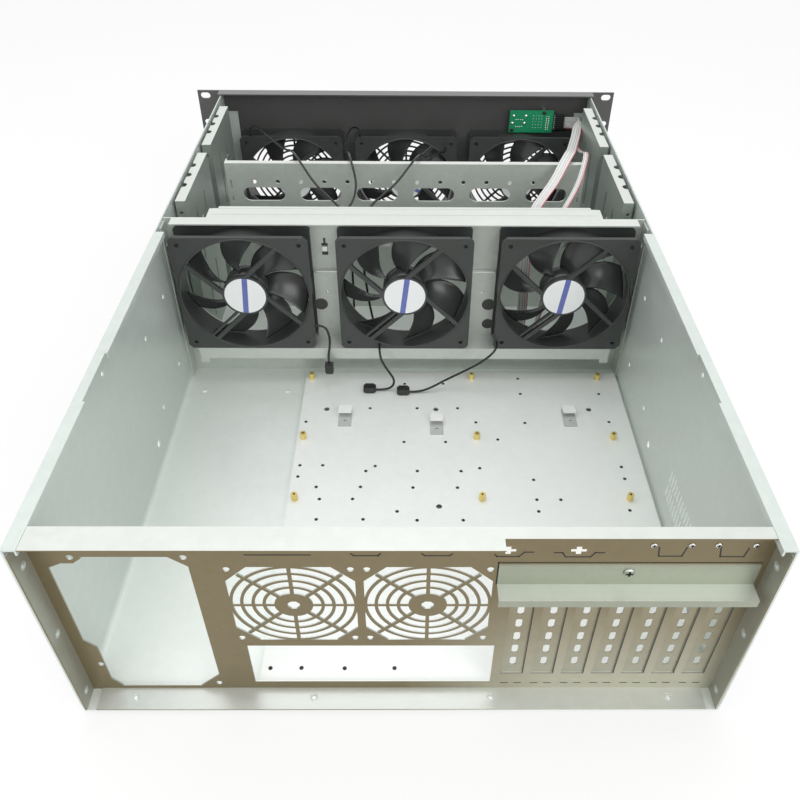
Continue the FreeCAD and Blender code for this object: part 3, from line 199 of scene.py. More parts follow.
class Form:
    """A mesh piece in the making, in millimetres; each shape names its material by number."""

    def __init__(self):
        self.mesh = bmesh.new()

    def face(self, verts, material=0, smooth=False):
        face = self.mesh.faces.new(verts)
        face.material_index = material
        face.smooth = smooth

    def spin(self, centre, profile, axis="y", steps=24, material=0, smooth=True):
        """Turns a closed section of (radius, along) points round an axis through the centre."""
        ways = {"x": ((0, 1, 0), (0, 0, 1), (1, 0, 0)), "y": ((0, 0, 1), (1, 0, 0), (0, 1, 0)),
                "z": ((1, 0, 0), (0, 1, 0), (0, 0, 1))}[axis]
        first, second, along = (Vector(way) for way in ways)
        rings = []
        for radius, height in profile:
            base = Vector(centre) + along * height
            if radius == 0:
                rings.append([self.mesh.verts.new(base * MM)] * steps)
                continue
            turns = [2 * pi * step / steps for step in range(steps)]
            rings.append([self.mesh.verts.new((base + (first * cos(a) + second * sin(a)) * radius) * MM)
                          for a in turns])
        closed = profile[0][0] > 0 and profile[-1][0] > 0
        pairs = list(zip(rings, rings[1:])) + ([(rings[-1], rings[0])] if closed else [])
        for low, high in pairs:
            for i in range(steps):
                j = (i + 1) % steps
                corners = [low[i], low[j], high[j], high[i]]
                distinct = [v for k, v in enumerate(corners) if v not in corners[:k]]
                if len(distinct) > 2:
                    self.face(distinct, material, smooth)

    def slab(self, outline, low, high, axis="y", material=0):
        """A flat shape with an outline across the axis and a thickness along it."""
        order = {"y": lambda a, b, h: (a, h, b), "z": lambda a, b, h: (a, b, h),
                 "x": lambda a, b, h: (h, a, b)}[axis]
        rows = [[self.mesh.verts.new(Vector(order(a, b, h)) * MM) for a, b in outline]
                for h in (low, high)]
        self.face(rows[0], material)
        self.face(rows[1][::-1], material)
        count = len(outline)
        for i in range(count):
            j = (i + 1) % count
            self.face((rows[0][i], rows[1][i], rows[1][j], rows[0][j]), material)

    def block(self, low, high, material=0):
        outline = [(low[0], low[2]), (high[0], low[2]), (high[0], high[2]), (low[0], high[2])]
        self.slab(outline, low[1], high[1], "y", material)

    def line(self, points, width, low, high, axis="y", material=0):
        """A narrow flat strip along straight runs."""
        for (ax, az), (bx, bz) in zip(points, points[1:]):
            run = Vector((bx - ax, bz - az)).normalized() * (width / 2)
            side = Vector((-run.y, run.x))
            corners = [Vector((ax, az)) - run - side, Vector((bx, bz)) + run - side,
                       Vector((bx, bz)) + run + side, Vector((ax, az)) - run + side]
            self.slab([tuple(corner) for corner in corners], low, high, axis, material)

    def finish(self, name, slot, *materials, body=CASE, bevel=0.0, replaces=()):
        bmesh.ops.recalc_face_normals(self.mesh, faces=self.mesh.faces)
        data = bpy.data.meshes.new(name)
        self.mesh.to_mesh(data)
        self.mesh.free()
        item = linked(name, data, *materials)
        if bevel:
            edge = item.modifiers.new("edge", "BEVEL")
            edge.width = bevel * MM
            edge.segments = 2
            edge.limit_method = "ANGLE"
        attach(item, body)
        if replaces:
            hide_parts(*replaces)
        return item


def smooth_line(name, route):
    """A smooth curve that takes its bends from the points of a route, which are in millimetres."""
    data = bpy.data.curves.new(name, "CURVE")
    data.dimensions = "3D"
    data.resolution_u = 10
    spline = data.splines.new("NURBS")
    spline.points.add(len(route) - 1)
    for point, place in zip(spline.points, route):
        point.co = (*(value * MM for value in place), 1.0)
    spline.order_u = 3
    spline.use_endpoint_u = True
    return linked(name, data)


def metres(place):
    return tuple(value * MM for value in place)


LEAD_ACROSS = 2.2
LEAD_BLACK = moulded("lead_black", (0.006, 0.006, 0.007), (0.020, 0.020, 0.021), 0.26, 0.02, 1800.0)
LEADS = {
    "front_fan_lead_1": (0.442, [
        (182, -299.65, 131.9), (182, -299.65, 143.5), (173, -287, 150), (160, -263, 152.5),
        (143, -234, 154.5), (126, -195, 163), (113, -160, 178.5), (102.5, -134, 179), (88, -118, 163.5),
        (72, -103, 156), (58.5, -90, 148), (53, -75, 132), (51, -62, 108), (50, -53, 76),
        (50.5, -49, 44), (53, -47.5, 22), (61, -47.5, 9.7), (73, -47.5, 4.9), (84, -47.5, 4.9)]),
    "front_fan_lead_2": (0.405, [
        (54, -299.65, 131.9), (54, -299.65, 142), (62, -288.5, 149), (67, -263, 149.5), (66, -232, 151.5),
        (62, -195, 160), (57, -158, 178.5), (52.5, -133, 179), (47.5, -124, 162), (50, -115, 149),
        (57, -103, 143), (62.5, -89, 132), (62, -76, 113), (61, -66, 90), (60, -60, 65), (59.5, -57.5, 42),
        (57, -57.5, 24), (48, -57.5, 11), (36, -57.5, 4.9), (25, -57.5, 4.9)]),
    "front_fan_lead_3": (0.432, [
        (-46.5, -297.65, 119), (-46.5, -288, 119), (-39, -273, 124.5), (-31, -250, 133), (-25, -216, 146),
        (-19.5, -180, 162), (-14.5, -154, 178.5), (-6, -132, 179), (7, -121, 165), (20, -110, 157.5),
        (33, -97, 152.5), (41.5, -83, 139), (42, -70, 116), (38, -59, 88), (34, -52, 60), (28.5, -48.5, 36),
        (19, -47.5, 18), (6, -47.5, 7), (-6, -47.5, 4.9), (-17, -47.5, 4.9)]),
    "mid_fan_lead_1": (0.049, [
        (84.2, -7.65, 75), (75, -7.65, 75), (70.5, -3.5, 66.5), (70.5, 1, 56.5), (72.5, 1.5, 46.5),
        (72.5, 1.5, 37)]),
    "mid_fan_lead_2": (0.071, [
        (24, -5.65, 55), (24, 3.4, 55), (22.5, 9, 47.8), (18.5, 9.5, 39), (14, 8.5, 30), (9.8, 8.5, 21.5),
        (11.8, 8.5, 12.8), (20, 9, 9.9), (28, 9, 9.9)]),
    "mid_fan_lead_3": (0.107, [
        (-87, -5.65, 57.5), (-87, 3.4, 57.5), (-79, 9.5, 51.5), (-68, 10, 42), (-54, 8, 31), (-39, 8, 21.5),
        (-25, 11, 14), (-14, 12, 9.9), (-4.5, 12, 9.9)]),
}
PLUG_BLACK = moulded("plug_black", (0.012, 0.012, 0.013), (0.030, 0.030, 0.031), 0.34)


NECK_LENGTH, NECK_INSET = 1.6, 0.7
STRIP_INSET, STRIP_HALF, STRIP_DEEP, STRIP_APART = 1.2, 0.4, 0.8, 1.6


def drawn_in(low, high, axes, inset):
    """A box's corners, drawn in at both ends of some of its axes."""
    return ([value + inset * (axis in axes) for axis, value in enumerate(low)],
            [value - inset * (axis in axes) for axis, value in enumerate(high)])


def fan_plug(node):
    """A lead's socket housing: a body with a slimmer neck at each end and two strips level with its top."""
    low, high = ([value / MM for value in corner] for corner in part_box(node))
    longest = max(range(3), key=lambda axis: high[axis] - low[axis])
    upward = 1 if longest == 2 else 2
    width = 3 - longest - upward
    middle = (low[width] + high[width]) / 2
    form = Form()
    body_low, body_high = drawn_in(low, high, [longest], NECK_LENGTH)
    form.block(body_low, body_high)
    form.block(*drawn_in(low, high, [upward, width], NECK_INSET))
    strip_low, strip_high = drawn_in(body_low, body_high, [longest], STRIP_INSET)
    strip_low[upward] = high[upward] - STRIP_DEEP
    for side in (-STRIP_APART, STRIP_APART):
        strip_low[width], strip_high[width] = middle + side - STRIP_HALF, middle + side + STRIP_HALF
        form.block(strip_low, strip_high)
    return form.finish(node + "_housing", "plug_plastic", PLUG_BLACK, bevel=0.35, replaces=[node])


for name, (length, route) in LEADS.items():
    housing = fan_plug(name.replace("lead", "plug"))
    lead = smooth_line(name + "_sleeve", route)
    lead.data.bevel_depth = LEAD_ACROSS / 2 * MM
    lead.data.bevel_resolution = 3
    lead.data.materials.append(LEAD_BLACK)
    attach(lead, CASE)
    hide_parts(name)
    metres(route[0])


RIBBON_GREY = moulded("ribbon_grey", (0.62, 0.63, 0.62), (0.78, 0.79, 0.77), 0.40, 0.02, 1500.0)
# Painted shade for three of the grooves between a ribbon's wires.
RIBBON_GROOVE_SHADE = moulded("ribbon_groove_shade", (0.06, 0.065, 0.065), (0.13, 0.135, 0.135), 0.5, 0.02, 1500.0)
RIBBON_RED = moulded("ribbon_red", (0.56, 0.14, 0.16), (0.70, 0.22, 0.24), 0.42, 0.02, 1500.0)
clip = Form()
clip.block((-85.5, -50.2, 3.5), (-81.0, -43.8, 6.9))
narrow_clip = clip.finish("narrow_ribbon_clip", "plug_plastic", LEAD_BLACK, bevel=0.5)
# Each ribbon: wires, length in metres, where its twist ends in millimetres, far end piece and route.
RIBBONS = {
    "wide_ribbon": (10, 0.444, 44.0, "ribbon_plug", [
        (-186, -317.9, 144.5), (-195, -317.9, 144.5), (-203.5, -311, 147.5), (-203.5, -299, 150),
        (-196.5, -288.5, 150.5), (-192, -268, 150.5), (-184.5, -240, 152.5), (-174.5, -200, 161.5),
        (-165, -158, 180), (-155, -133, 180.5), (-145, -118, 167.5), (-133, -104, 158.5), (-122.5, -91, 149),
        (-117, -78, 130), (-116, -66, 103), (-116, -58, 72), (-116.5, -54.5, 43), (-113.5, -54, 24),
        (-103.5, -54, 10.5), (-91.5, -54, 6), (-80, -54, 6)]),
    "narrow_ribbon": (5, 0.450, 84.0, narrow_clip, [
        (-186, -317.9, 138.3), (-195, -317.9, 138.3), (-203, -311, 138.8), (-203.5, -299.5, 140.5),
        (-194, -287.5, 142), (-190, -268, 142.5), (-188, -238, 147), (-186.5, -200, 158.5),
        (-181, -160, 179), (-175, -134, 179.5), (-168.5, -117, 168.5), (-160, -102, 160), (-150, -89, 150.5),
        (-143, -76, 132), (-139, -65, 105), (-136, -56, 74), (-131, -49, 46), (-123, -47, 25),
        (-110, -47, 11.5), (-94, -47, 5.1), (-80, -47, 5.1)]),
}


WIRE_PITCH = 1.0
BULGE_STEPS = 4
TWIST_START = 10.0
SMOOTHING_PASSES = 6


def path_of(name, route):
    """The points along a route's smooth line."""
    guide = smooth_line(name, route)
    mesh = bpy.data.meshes.new_from_object(guide)
    points = [vertex.co.copy() for vertex in mesh.vertices]
    bpy.data.objects.remove(guide)
    bpy.data.meshes.remove(mesh)
    return points


def flat_ways(points, twist_start, twist_end):
    """The way the ribbon's width points: upright at its plug, level once it has twisted."""
    ways = []
    run = 0.0
    for index, point in enumerate(points):
        ahead = points[min(index + 1, len(points) - 1)] - points[max(index - 1, 0)]
        run += (point - points[max(index - 1, 0)]).length
        share = min(max((run - twist_start * MM) / ((twist_end - twist_start) * MM), 0.0), 1.0)
        level = Vector((ahead.y, -ahead.x, 0.0)).normalized()
        ways.append((Vector((0.0, 0.0, 1.0)) * (1.0 - share) + level * share).normalized())
    for _ in range(SMOOTHING_PASSES):
        ways = [(ways[max(i - 1, 0)] + ways[i] + ways[min(i + 1, len(ways) - 1)]).normalized()
                for i in range(len(ways))]
    return ways


def ribbon(name, wires, twist_end, route):
    """Round wires moulded side by side, swept along the route."""
    points = path_of(name + "_guide", route)
    ways = flat_ways(points, TWIST_START, twist_end)
    pitch = WIRE_PITCH * MM
    bulge = BULGE_STEPS
    form = bmesh.new()
    rings = []
    for index, (point, way) in enumerate(zip(points, ways)):
        ahead = (points[min(index + 1, len(points) - 1)] - points[max(index - 1, 0)]).normalized()
        way = (way - ahead * way.dot(ahead)).normalized()
        up = ahead.cross(way)
        section = []
        for side in (1, -1):
            for wire in range(wires):
                for step in range(bulge):
                    turn = pi * (step + 0.5) / bulge
                    across = (wire - (wires - 1) / 2) * pitch - cos(turn) * pitch / 2
                    section.append((across * side, sin(turn) * pitch * 0.5 * side))
        rings.append([form.verts.new(point + way * across + up * lift) for across, lift in section])
    # Painted shade: beside three of the grooves between wires, the faces take the dark groove material; the
    # first wire is red.
    grooves = {wires * 3 // 10, wires * 5 // 10, wires * 8 // 10}
    count = len(rings[0])
    for first, second in zip(rings, rings[1:]):
        for i in range(count):
            face = form.faces.new((first[i], first[(i + 1) % count], second[(i + 1) % count], second[i]))
            face.smooth = True
            wire = i // bulge if i < count // 2 else wires - 1 - (i - count // 2) // bulge
            groove = i % bulge in (0, bulge - 1) and (wire + (i % bulge > 0) if i < count // 2
                                                     else wire + (i % bulge == 0)) in grooves
            face.material_index = 2 if wire == 0 else int(groove)
    form.faces.new(rings[0][::-1])
    form.faces.new(rings[-1])
    bmesh.ops.recalc_face_normals(form, faces=form.faces)
    mesh = bpy.data.meshes.new(name)
    form.to_mesh(mesh)
    form.free()
    return linked(name + "_wires", mesh, RIBBON_GREY, RIBBON_GROOVE_SHADE, RIBBON_RED), points


for name, (wires, length, twist_end, far_piece, route) in RIBBONS.items():
    band, line = ribbon(name, wires, twist_end, route)
    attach(band, CASE)
    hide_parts(name)
    metres(route[0])
    wires * MM


# ---------------------------------------------------------------- white floor and studio light

# A white floor under a white world, one wide lamp overhead and a weaker one behind the camera.
FLOOR_REACH, FLOOR_DROP, FLOOR_GLOW = 6.0, 0.0005, 0.62
AMBIENT = 0.86


def backdrop():
    """A white floor that keeps the object's shadow; it glows a little where the camera sees it."""
    mesh = bpy.data.meshes.new("floor")
    reach = FLOOR_REACH
    level = cad_box[0][2] - FLOOR_DROP
    mesh.from_pydata([(-reach, -reach, level), (reach, -reach, level), (reach, reach, level),
                      (-reach, reach, level)], [], [(0, 1, 2, 3)])
    item = linked("floor", mesh)
    paint = Material("floor", Roughness=0.9)
    shade = paint.place.noise(3.0).mix((0.86, 0.86, 0.86), (0.90, 0.90, 0.89))
    paint.set("Base Color", shade)
    tree = paint.tree
    glow = tree.nodes.new("ShaderNodeEmission")
    rays = tree.nodes.new("ShaderNodeLightPath")
    blend = tree.nodes.new("ShaderNodeMixShader")
    seen = Wire(tree, rays.outputs["Is Camera Ray"]) + Wire(tree, rays.outputs["Is Glossy Ray"])
    seen.plug(blend.inputs[0], seen * FLOOR_GLOW)
    tree.links.new(paint.shader.outputs[0], blend.inputs[1])
    tree.links.new(glow.outputs[0], blend.inputs[2])
    tree.links.new(blend.outputs[0], tree.nodes["Material Output"].inputs["Surface"])
    mesh.materials.append(paint.data)


def world_light(ambient):
    world = bpy.data.worlds.new("world")
    world.use_nodes = True
    SCENE.world = world
    tree = world.node_tree
    back = tree.nodes["Background"]
    rays = tree.nodes.new("ShaderNodeLightPath")
    to_camera, glossy = (Wire(tree, rays.outputs[f"Is {kind} Ray"]) for kind in ("Camera", "Glossy"))
    seen = to_camera.math("MAXIMUM", glossy)
    strength = seen * (1.0 - ambient) + ambient
    tree.links.new(strength.socket, back.inputs["Strength"])
    back.inputs["Color"].default_value = (1.0, 1.0, 1.0, 1.0)


def lamp(name, size, power, place, target):
    data = bpy.data.lights.new(name, "AREA")
    data.size = size
    data.energy = power
    item = bpy.data.objects.new(name, data)
    item.location = place
    item.rotation_euler = (Vector(target) - Vector(place)).to_track_quat("-Z", "Y").to_euler()
    SCENE.collection.objects.link(item)


backdrop()
world_light(AMBIENT)
lamp("overhead", 1.6, 12.0, (0.2, 0.1, 1.9), (0.0, 0.0, 0.0))
lamp("behind_camera", 1.0, 10.0, (-0.9, 1.6, 1.2), (0.0, 0.1, 0.05))


# ---------------------------------------------------------------- sheet steel

# The tray, the panels and the brackets are zinc-coated sheet: faint crystals a few millimetres wide,
# rolling streaks and a soft gloss, cut and folded.
ALONG_X, ALONG_Y, ALONG_Z = (0.05, 1.0, 1.0), (1.0, 0.05, 1.0), (1.0, 1.0, 0.05)
FOLD_FADE = 0.1


def sheet_steel(name, dark, light, roughness=0.34, grain=(1.0, 1.0, 1.0), metal=1.0, upper=None,
                low=None, low_reach=0.075, sides=None, low_from=None):
    """Upper and sides are painted reflections, lighter tones on folds that face up or sideways.

    Low is painted light, a lighter tone near the floor: it reaches up to low_reach and, with low_from, lies
    only below that x.
    """
    paint = Material(name, Metallic=metal)
    crystal = paint.place.node("TexVoronoi", {"Vector": paint.place, "Scale": 170.0}, output=1).axes()[0]
    streaks = paint.place.scaled(*grain).noise(900.0, 3.0)
    cloud = paint.place.noise(9.0, 3.0)
    tone = crystal * 0.22 + streaks * 0.28 + cloud * 0.5
    colour = tone.mix(dark, light)
    if low:
        height = paint.place.axes()[2]
        spread = 1.0 - height.clamp(0.004, low_reach)
        if low_from is not None:
            spread = spread * (1.0 - paint.place.axes()[0].clamp(low_from - FOLD_FADE, low_from))
        colour = spread.mix(colour, tone.mix(*low))
    if upper:
        tilt = paint.normal.axes()[2].math("ABSOLUTE")
        colour = tilt.clamp(0.4, 0.7).mix(colour, tone.mix(*upper))
    if sides:
        turn = paint.normal.axes()[0].math("ABSOLUTE")
        colour = turn.clamp(0.6, 0.8).mix(colour, tone.mix(*sides))
    paint.set("Base Color", colour)
    paint.set("Roughness", roughness + (cloud - 0.5) * 0.16 + (crystal - 0.5) * 0.06)
    paint.bump(streaks, 0.02, 0.5)
    return paint.data


def dress(material, *nodes):
    for name in nodes:
        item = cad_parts[name]
        item.data.materials.clear()
        item.data.materials.append(material)


# Painted light: the tray is lighter within 12 mm of the floor and darker above it, on its walls and rims.
TRAY_STEEL = sheet_steel("tray_steel", (0.57, 0.63, 0.595), (0.69, 0.75, 0.715), 0.42, ALONG_Y, 0.35,
                         low=((0.80, 0.85, 0.815), (0.90, 0.94, 0.91)), low_reach=0.012)
dress(TRAY_STEEL, "chassis_tray")
SHADOW = moulded("dark_gap", (0.010, 0.010, 0.009), (0.035, 0.033, 0.030), 0.7, 0.0)
BRIGHT = sheet_steel("bright_metal", (0.62, 0.62, 0.61), (0.82, 0.82, 0.81), 0.22)


# ---------------------------------------------------------------- rear panel

# A shallow pan of thin sheet, riveted to the tray, with two finger guards, a port opening, a power
# supply opening and knock-outs that are cut nearly through along their outlines.
# Painted reflection: the lighter tone that the panel, the fan wall and the bay brackets take on folds that
# face up.
UPWARD_SHEEN_STEEL = ((0.62, 0.65, 0.62), (0.72, 0.75, 0.71))
# Painted reflection: the panel's dark warm tone stands for the surroundings its face mirrors; its side folds
# and, on the -x side, its part below 110 mm are painted lighter.
PANEL_STEEL = sheet_steel("panel_steel", (0.166, 0.132, 0.069), (0.242, 0.197, 0.106), 0.38, ALONG_X, 0.5,
                          upper=UPWARD_SHEEN_STEEL, low=((0.44, 0.43, 0.34), (0.58, 0.57, 0.46)), low_reach=0.11,
                          sides=((0.30, 0.31, 0.26), (0.42, 0.43, 0.37)), low_from=0.0)
PLATE_SHINE = moulded("plate_seen_through", (0.80, 0.80, 0.76), (0.90, 0.90, 0.86), 0.5)
dress(PANEL_STEEL, "rear_panel")
PANEL_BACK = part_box("slot_clamp_cover")[0][1] / MM
GUARDS = [(65.5, 102.1), (-15.5, 102.1)]
GUARD_RADII = (17.8, 24.4, 31.2, 37.6)
RING_HALF = 1.0


def ring(form, centre, radius, low, high, steps):
    """One flat ring of a finger guard."""
    inner, outer = radius - RING_HALF, radius + RING_HALF
    form.spin(centre, [(inner, low), (outer, low), (outer, high), (inner, high)], steps=steps, smooth=False)


rings = Form()
for x, z in GUARDS:
    for radius in GUARD_RADII:
        ring(rings, (x, 0, z), radius, PANEL_BACK - 0.9, PANEL_BACK - 0.1, 64)
rings.finish("rear_guard_rings", "zinc_steel", PANEL_STEEL)

marks = Form()
MARK_LOW, MARK_HIGH = PANEL_BACK - 0.05, PANEL_BACK + 0.06
KNOCK_OUTS = [
    [(88.9, 151.4), (51.9, 151.4)],
    [(28.9, 152.6), (27.3, 150.8), (13.3, 150.8), (12.2, 152.7)],
    [(-11.3, 152.7), (-13.0, 150.8), (-27.0, 150.8), (-28.6, 152.6)],
    [(-52.7, 152.0), (-54.0, 150.1), (-66.4, 150.1), (-69.4, 154.1), (-74.4, 154.1)],
    [(-86.3, 153.7), (-90.8, 153.7), (-93.0, 149.8), (-107.2, 149.8), (-109.4, 153.7), (-114.5, 153.7)],
    [(-144.8, 158.4), (-145.8, 150.5), (-159.1, 150.5), (-160.4, 158.2)],
    [(-179.7, 157.9), (-181.1, 150.1), (-194.6, 150.0), (-195.6, 157.6)],
    [(-55.4, 144.5), (-207.0, 144.5)],
    [(-55.5, 144.5), (-55.5, 124.0)],
]
for outline in KNOCK_OUTS:
    marks.line(outline, 0.9, MARK_LOW, MARK_HIGH)
SLOT_FIRST, SLOT_PITCH, SLOT_HALF = -72.9, -20.32, 7.2
# Painted shadow: a thin dark line down one side and along the bottom of each slot opening; two short dark
# dashes lie below it.
for index in range(7):
    x = SLOT_FIRST + SLOT_PITCH * index
    marks.line([(x - SLOT_HALF - 0.2, 121.0), (x - SLOT_HALF - 0.2, 23.2), (x + SLOT_HALF, 23.2)], 0.55,
               MARK_LOW, MARK_HIGH)
    for side in (-5.0, 4.0):
        marks.line([(x + side - 2.2, 10.6), (x + side + 2.2, 10.6)], 0.8, MARK_LOW, MARK_HIGH)
marks.finish("knock_out_cuts_and_slot_shadows", "zinc_steel", SHADOW)

CROSS_HEIGHT = 155.9
CROSS_QUARTER = [(4.4, 1.0), (1.5, 1.0), (1.5, 3.2)]
crosses = Form()
for x in (-60.0, -99.8):
    outline = CROSS_QUARTER + [(-a, b) for a, b in reversed(CROSS_QUARTER)]
    outline += [(-a, -b) for a, b in CROSS_QUARTER] + [(a, -b) for a, b in reversed(CROSS_QUARTER)]
    crosses.slab([(x + a, CROSS_HEIGHT + b) for a, b in outline], MARK_LOW, MARK_HIGH + 0.05)
crosses.finish("pierced_crosses", "zinc_steel", PLATE_SHINE)


def rivet(form, centre, axis, radius=1.9, rise=0.5):
    """A domed head in a shallow ring."""
    form.spin(centre, [(0.0, rise), (radius * 0.45, rise * 0.92), (radius * 0.8, rise * 0.6),
                       (radius, 0.0), (radius * 0.6, -0.2), (0.0, -0.2)], axis, 18)
    form.spin(centre, [(radius * 1.05, 0.0), (radius * 1.35, 0.12), (radius * 1.5, 0.0),
                       (radius * 1.3, -0.1)], axis, 18)


def cross_head(form, centre, radius, rise):
    """A pan head that faces the rear, with a cross recess in the second material."""
    form.spin(centre, [(0.0, rise), (radius * 0.6, rise * 0.95), (radius * 0.9, rise * 0.6), (radius, 0.0),
                       (0.0, 0.0)], "y", 20)
    arm, width = radius * 0.62, radius * 0.2
    x, y, z = centre
    for wide, tall in ((arm, width), (width, arm)):
        form.block((x - wide, y + rise * 0.9, z - tall), (x + wide, y + rise * 1.03, z + tall), 1)


FLOOR_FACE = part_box("motherboard_plate")[0][2] / MM
rivets = Form()
for x in (180.3, 59.8, -59.8, -180.3):
    rivet(rivets, (x, 317.0, FLOOR_FACE + 1.0), "z")
for z in (151.0, 82.6, 14.6):
    rivet(rivets, (210.6, 317.3, z), "x", 1.9, -0.5)
    rivet(rivets, (-210.6, 317.3, z), "x", 1.9, 0.5)
rivets.finish("panel_rivets", "zinc_steel", TRAY_STEEL)

screws = Form()
for x, z in ((-141.5, 160.2), (-162.8, 160.4), (-177.8, 160.5), (-199.1, 160.2)):
    cross_head(screws, (x, PANEL_BACK, z), 2.1, 0.9)
screws.finish("panel_screws", "bright_metal", BRIGHT, SHADOW)


# ---------------------------------------------------------------- slot blanks and their clamp

# Seven pierced blanks behind the slots and the folded cover that one screw clamps over their tabs.
# Painted reflection: the blanks take the rear panel's dark warm tone, and painted light makes them lighter
# towards the bottom, up to 75 mm.
BLANK_STEEL = sheet_steel("blank_steel", (0.24, 0.21, 0.135), (0.34, 0.31, 0.215), 0.38, ALONG_Z, 0.55,
                          low=((0.38, 0.38, 0.30), (0.50, 0.50, 0.41)))
# Painted highlight: the cover's folds that face up are painted lighter.
CLAMP_STEEL = sheet_steel("clamp_steel", (0.28, 0.30, 0.235), (0.38, 0.41, 0.33), 0.36, ALONG_X, 0.55,
                          upper=((0.76, 0.81, 0.74), (0.86, 0.90, 0.83)))
dress(BLANK_STEEL, *[f"slot_blank_{i}" for i in range(1, 8)])
dress(CLAMP_STEEL, "slot_clamp_cover")
low, high = ([value / MM for value in corner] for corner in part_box("clamp_screw"))
head = Form()
x, z = (low[0] + high[0]) / 2, (low[2] + high[2]) / 2
cross_head(head, (x, low[1], z), (high[0] - low[0]) / 2, high[1] - low[1])
head.finish("clamp_screw_head", "bright_metal", CLAMP_STEEL, SHADOW, replaces=["clamp_screw"])


# ---------------------------------------------------------------- motherboard plate

# A flat sheet on side folds, pierced with rows of small screw holes for several board sizes, its
# brass standoffs and three moulded cable clips that are stuck down.
PLATE_STEEL = sheet_steel("plate_steel", (0.84, 0.87, 0.85), (0.93, 0.95, 0.93), 0.44, ALONG_Y, 0.25)
dress(PLATE_STEEL, "motherboard_plate")
PLATE_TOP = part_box("motherboard_plate")[1][2] / MM
# How far each hole lies towards the slots, and in from the rear end.
HOLE_SPOTS = [
    (-0.2, 326.9), (37.6, 327.1), (112, 335), (-5.2, 312), (112, 312.4), (188.3, 312.5), (-32.8, 291.6),
    (11.8, 291.7), (50.2, 291.8), (-91.6, 272.9), (66.4, 272.5), (112, 271.9), (190.7, 273.4),
    (-0.4, 246.8), (37.3, 246.9), (84.9, 250.1), (-91.4, 217.9), (-71.5, 218), (-25.5, 217.2),
    (-33.4, 211.3), (11.5, 211.4), (49.6, 211.3), (66.1, 214.8), (190.7, 216.5), (-91.8, 204.7),
    (111.7, 201.3), (190.8, 202.6), (-74.9, 192.9), (-37.2, 193), (7.6, 192.3), (45.6, 192.3),
    (-71, 179.5), (-43.2, 179.6), (111.8, 179), (132, 179), (-5.6, 166.3), (111.8, 166.4),
    (187.8, 167.6), (-71.7, 157.8), (-33.4, 157.9), (10.9, 157), (48.7, 157.1), (-91.4, 27.3),
    (-70, 27.4), (-40.1, 27.1), (-5.6, 27.2)]
DEPTH_TO_REAR = 325.35
holes = Form()
for across, setback in HOLE_SPOTS:
    spot = (-across, DEPTH_TO_REAR - setback, PLATE_TOP)
    holes.spin(spot, [(0.0, 0.03), (1.45, 0.03), (1.5, -0.05), (0.0, -0.05)], "z", 14, smooth=False)
    holes.spin(spot, [(1.5, -0.03), (1.5, 0.05), (1.75, 0.0)], "z", 14, 1)
holes.finish("plate_holes", "zinc_steel", SHADOW, PLATE_STEEL)

BRASS = sheet_steel("brass", (0.72, 0.56, 0.16), (0.88, 0.72, 0.26), 0.30, metal=0.6)
dress(BRASS, "standoffs")
threads = Form()
for x in (91.7, -65.78, -190.24):
    for setback in (179.4, 251.79, 335.1):
        threads.spin((x, DEPTH_TO_REAR - setback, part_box("standoffs")[1][2] / MM),
                     [(0.0, 0.02), (1.0, 0.02), (1.05, -0.1), (0.0, -0.1)], "z", 14, 0, False)
threads.finish("standoff_threads", "brass_post", SHADOW)

CLIP_WHITE = moulded("clip_white", (0.80, 0.81, 0.80), (0.90, 0.91, 0.90), 0.42)
CLIP_FOOT = moulded("clip_foot", (0.42, 0.44, 0.43), (0.54, 0.56, 0.55), 0.26)
clips = Form()
for x, setback in ((55.5, 277.5), (-29.6, 267.0), (-154.2, 278.0)):
    y = DEPTH_TO_REAR - setback
    clips.block((x - 6.0, y - 11.0, PLATE_TOP + 0.02), (x + 6.0, y + 11.0, PLATE_TOP + 1.3), 1)
    clips.slab([(y - 11.0, PLATE_TOP + 1.3), (y - 11.0, PLATE_TOP + 7.0), (y - 0.8, PLATE_TOP + 7.6),
                (y - 0.4, PLATE_TOP + 6.4), (y - 9.4, PLATE_TOP + 5.8), (y - 9.4, PLATE_TOP + 1.3)],
               x - 6.0, x + 6.0, "x")
    clips.spin((x, y + 5.0, PLATE_TOP + 1.3), [(0.0, 0.9), (1.6, 0.7), (2.2, 0.0), (0.0, 0.0)], "z", 16, 1)
    clips.spin((x, y + 5.0, PLATE_TOP + 2.2), [(0.0, 0.04), (0.7, 0.04), (0.7, -0.1), (0.0, -0.1)],
               "z", 10, 2, False)
clips.finish("clip_mouldings", "clip_plastic", CLIP_WHITE, CLIP_FOOT, SHADOW, bevel=0.35,
             replaces=["cable_clips"])


# ---------------------------------------------------------------- fan wall and shelf

# The cross wall with its pressed pads and half-round lead holes, and the folded shelf for the fans.
# Painted reflection: folds of the fan wall, rail and cross member that face up take the lighter upward sheen
# tone.
WALL_STEEL = sheet_steel("wall_steel", (0.50, 0.54, 0.50), (0.66, 0.70, 0.66), 0.40, ALONG_X, 0.4,
                         upper=UPWARD_SHEEN_STEEL)
SHELF_STEEL = sheet_steel("shelf_steel", (0.50, 0.53, 0.50), (0.64, 0.67, 0.64), 0.38, ALONG_X, 0.4)
dress(WALL_STEEL, "fan_wall", "drive_rail", "cross_member")
dress(SHELF_STEEL, "fan_shelf")

# Painted shade: two grey strips along the drive rail's creases.
RAIL_CREASE_SHADE = moulded("rail_crease_shade", (0.40, 0.43, 0.41), (0.52, 0.55, 0.53), 0.5, 0.0)
RAIL_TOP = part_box("drive_rail")[1][2] / MM
creases = Form()
for y in (-61.0, -50.0):
    creases.line([(-174.0, y), (174.0, y)], 0.7, RAIL_TOP - 0.1, RAIL_TOP + 0.05, "z")
creases.finish("rail_crease_shade_lines", "zinc_steel", RAIL_CREASE_SHADE)

WALL_FACE, PAD_FACE = -30.65, -26.65
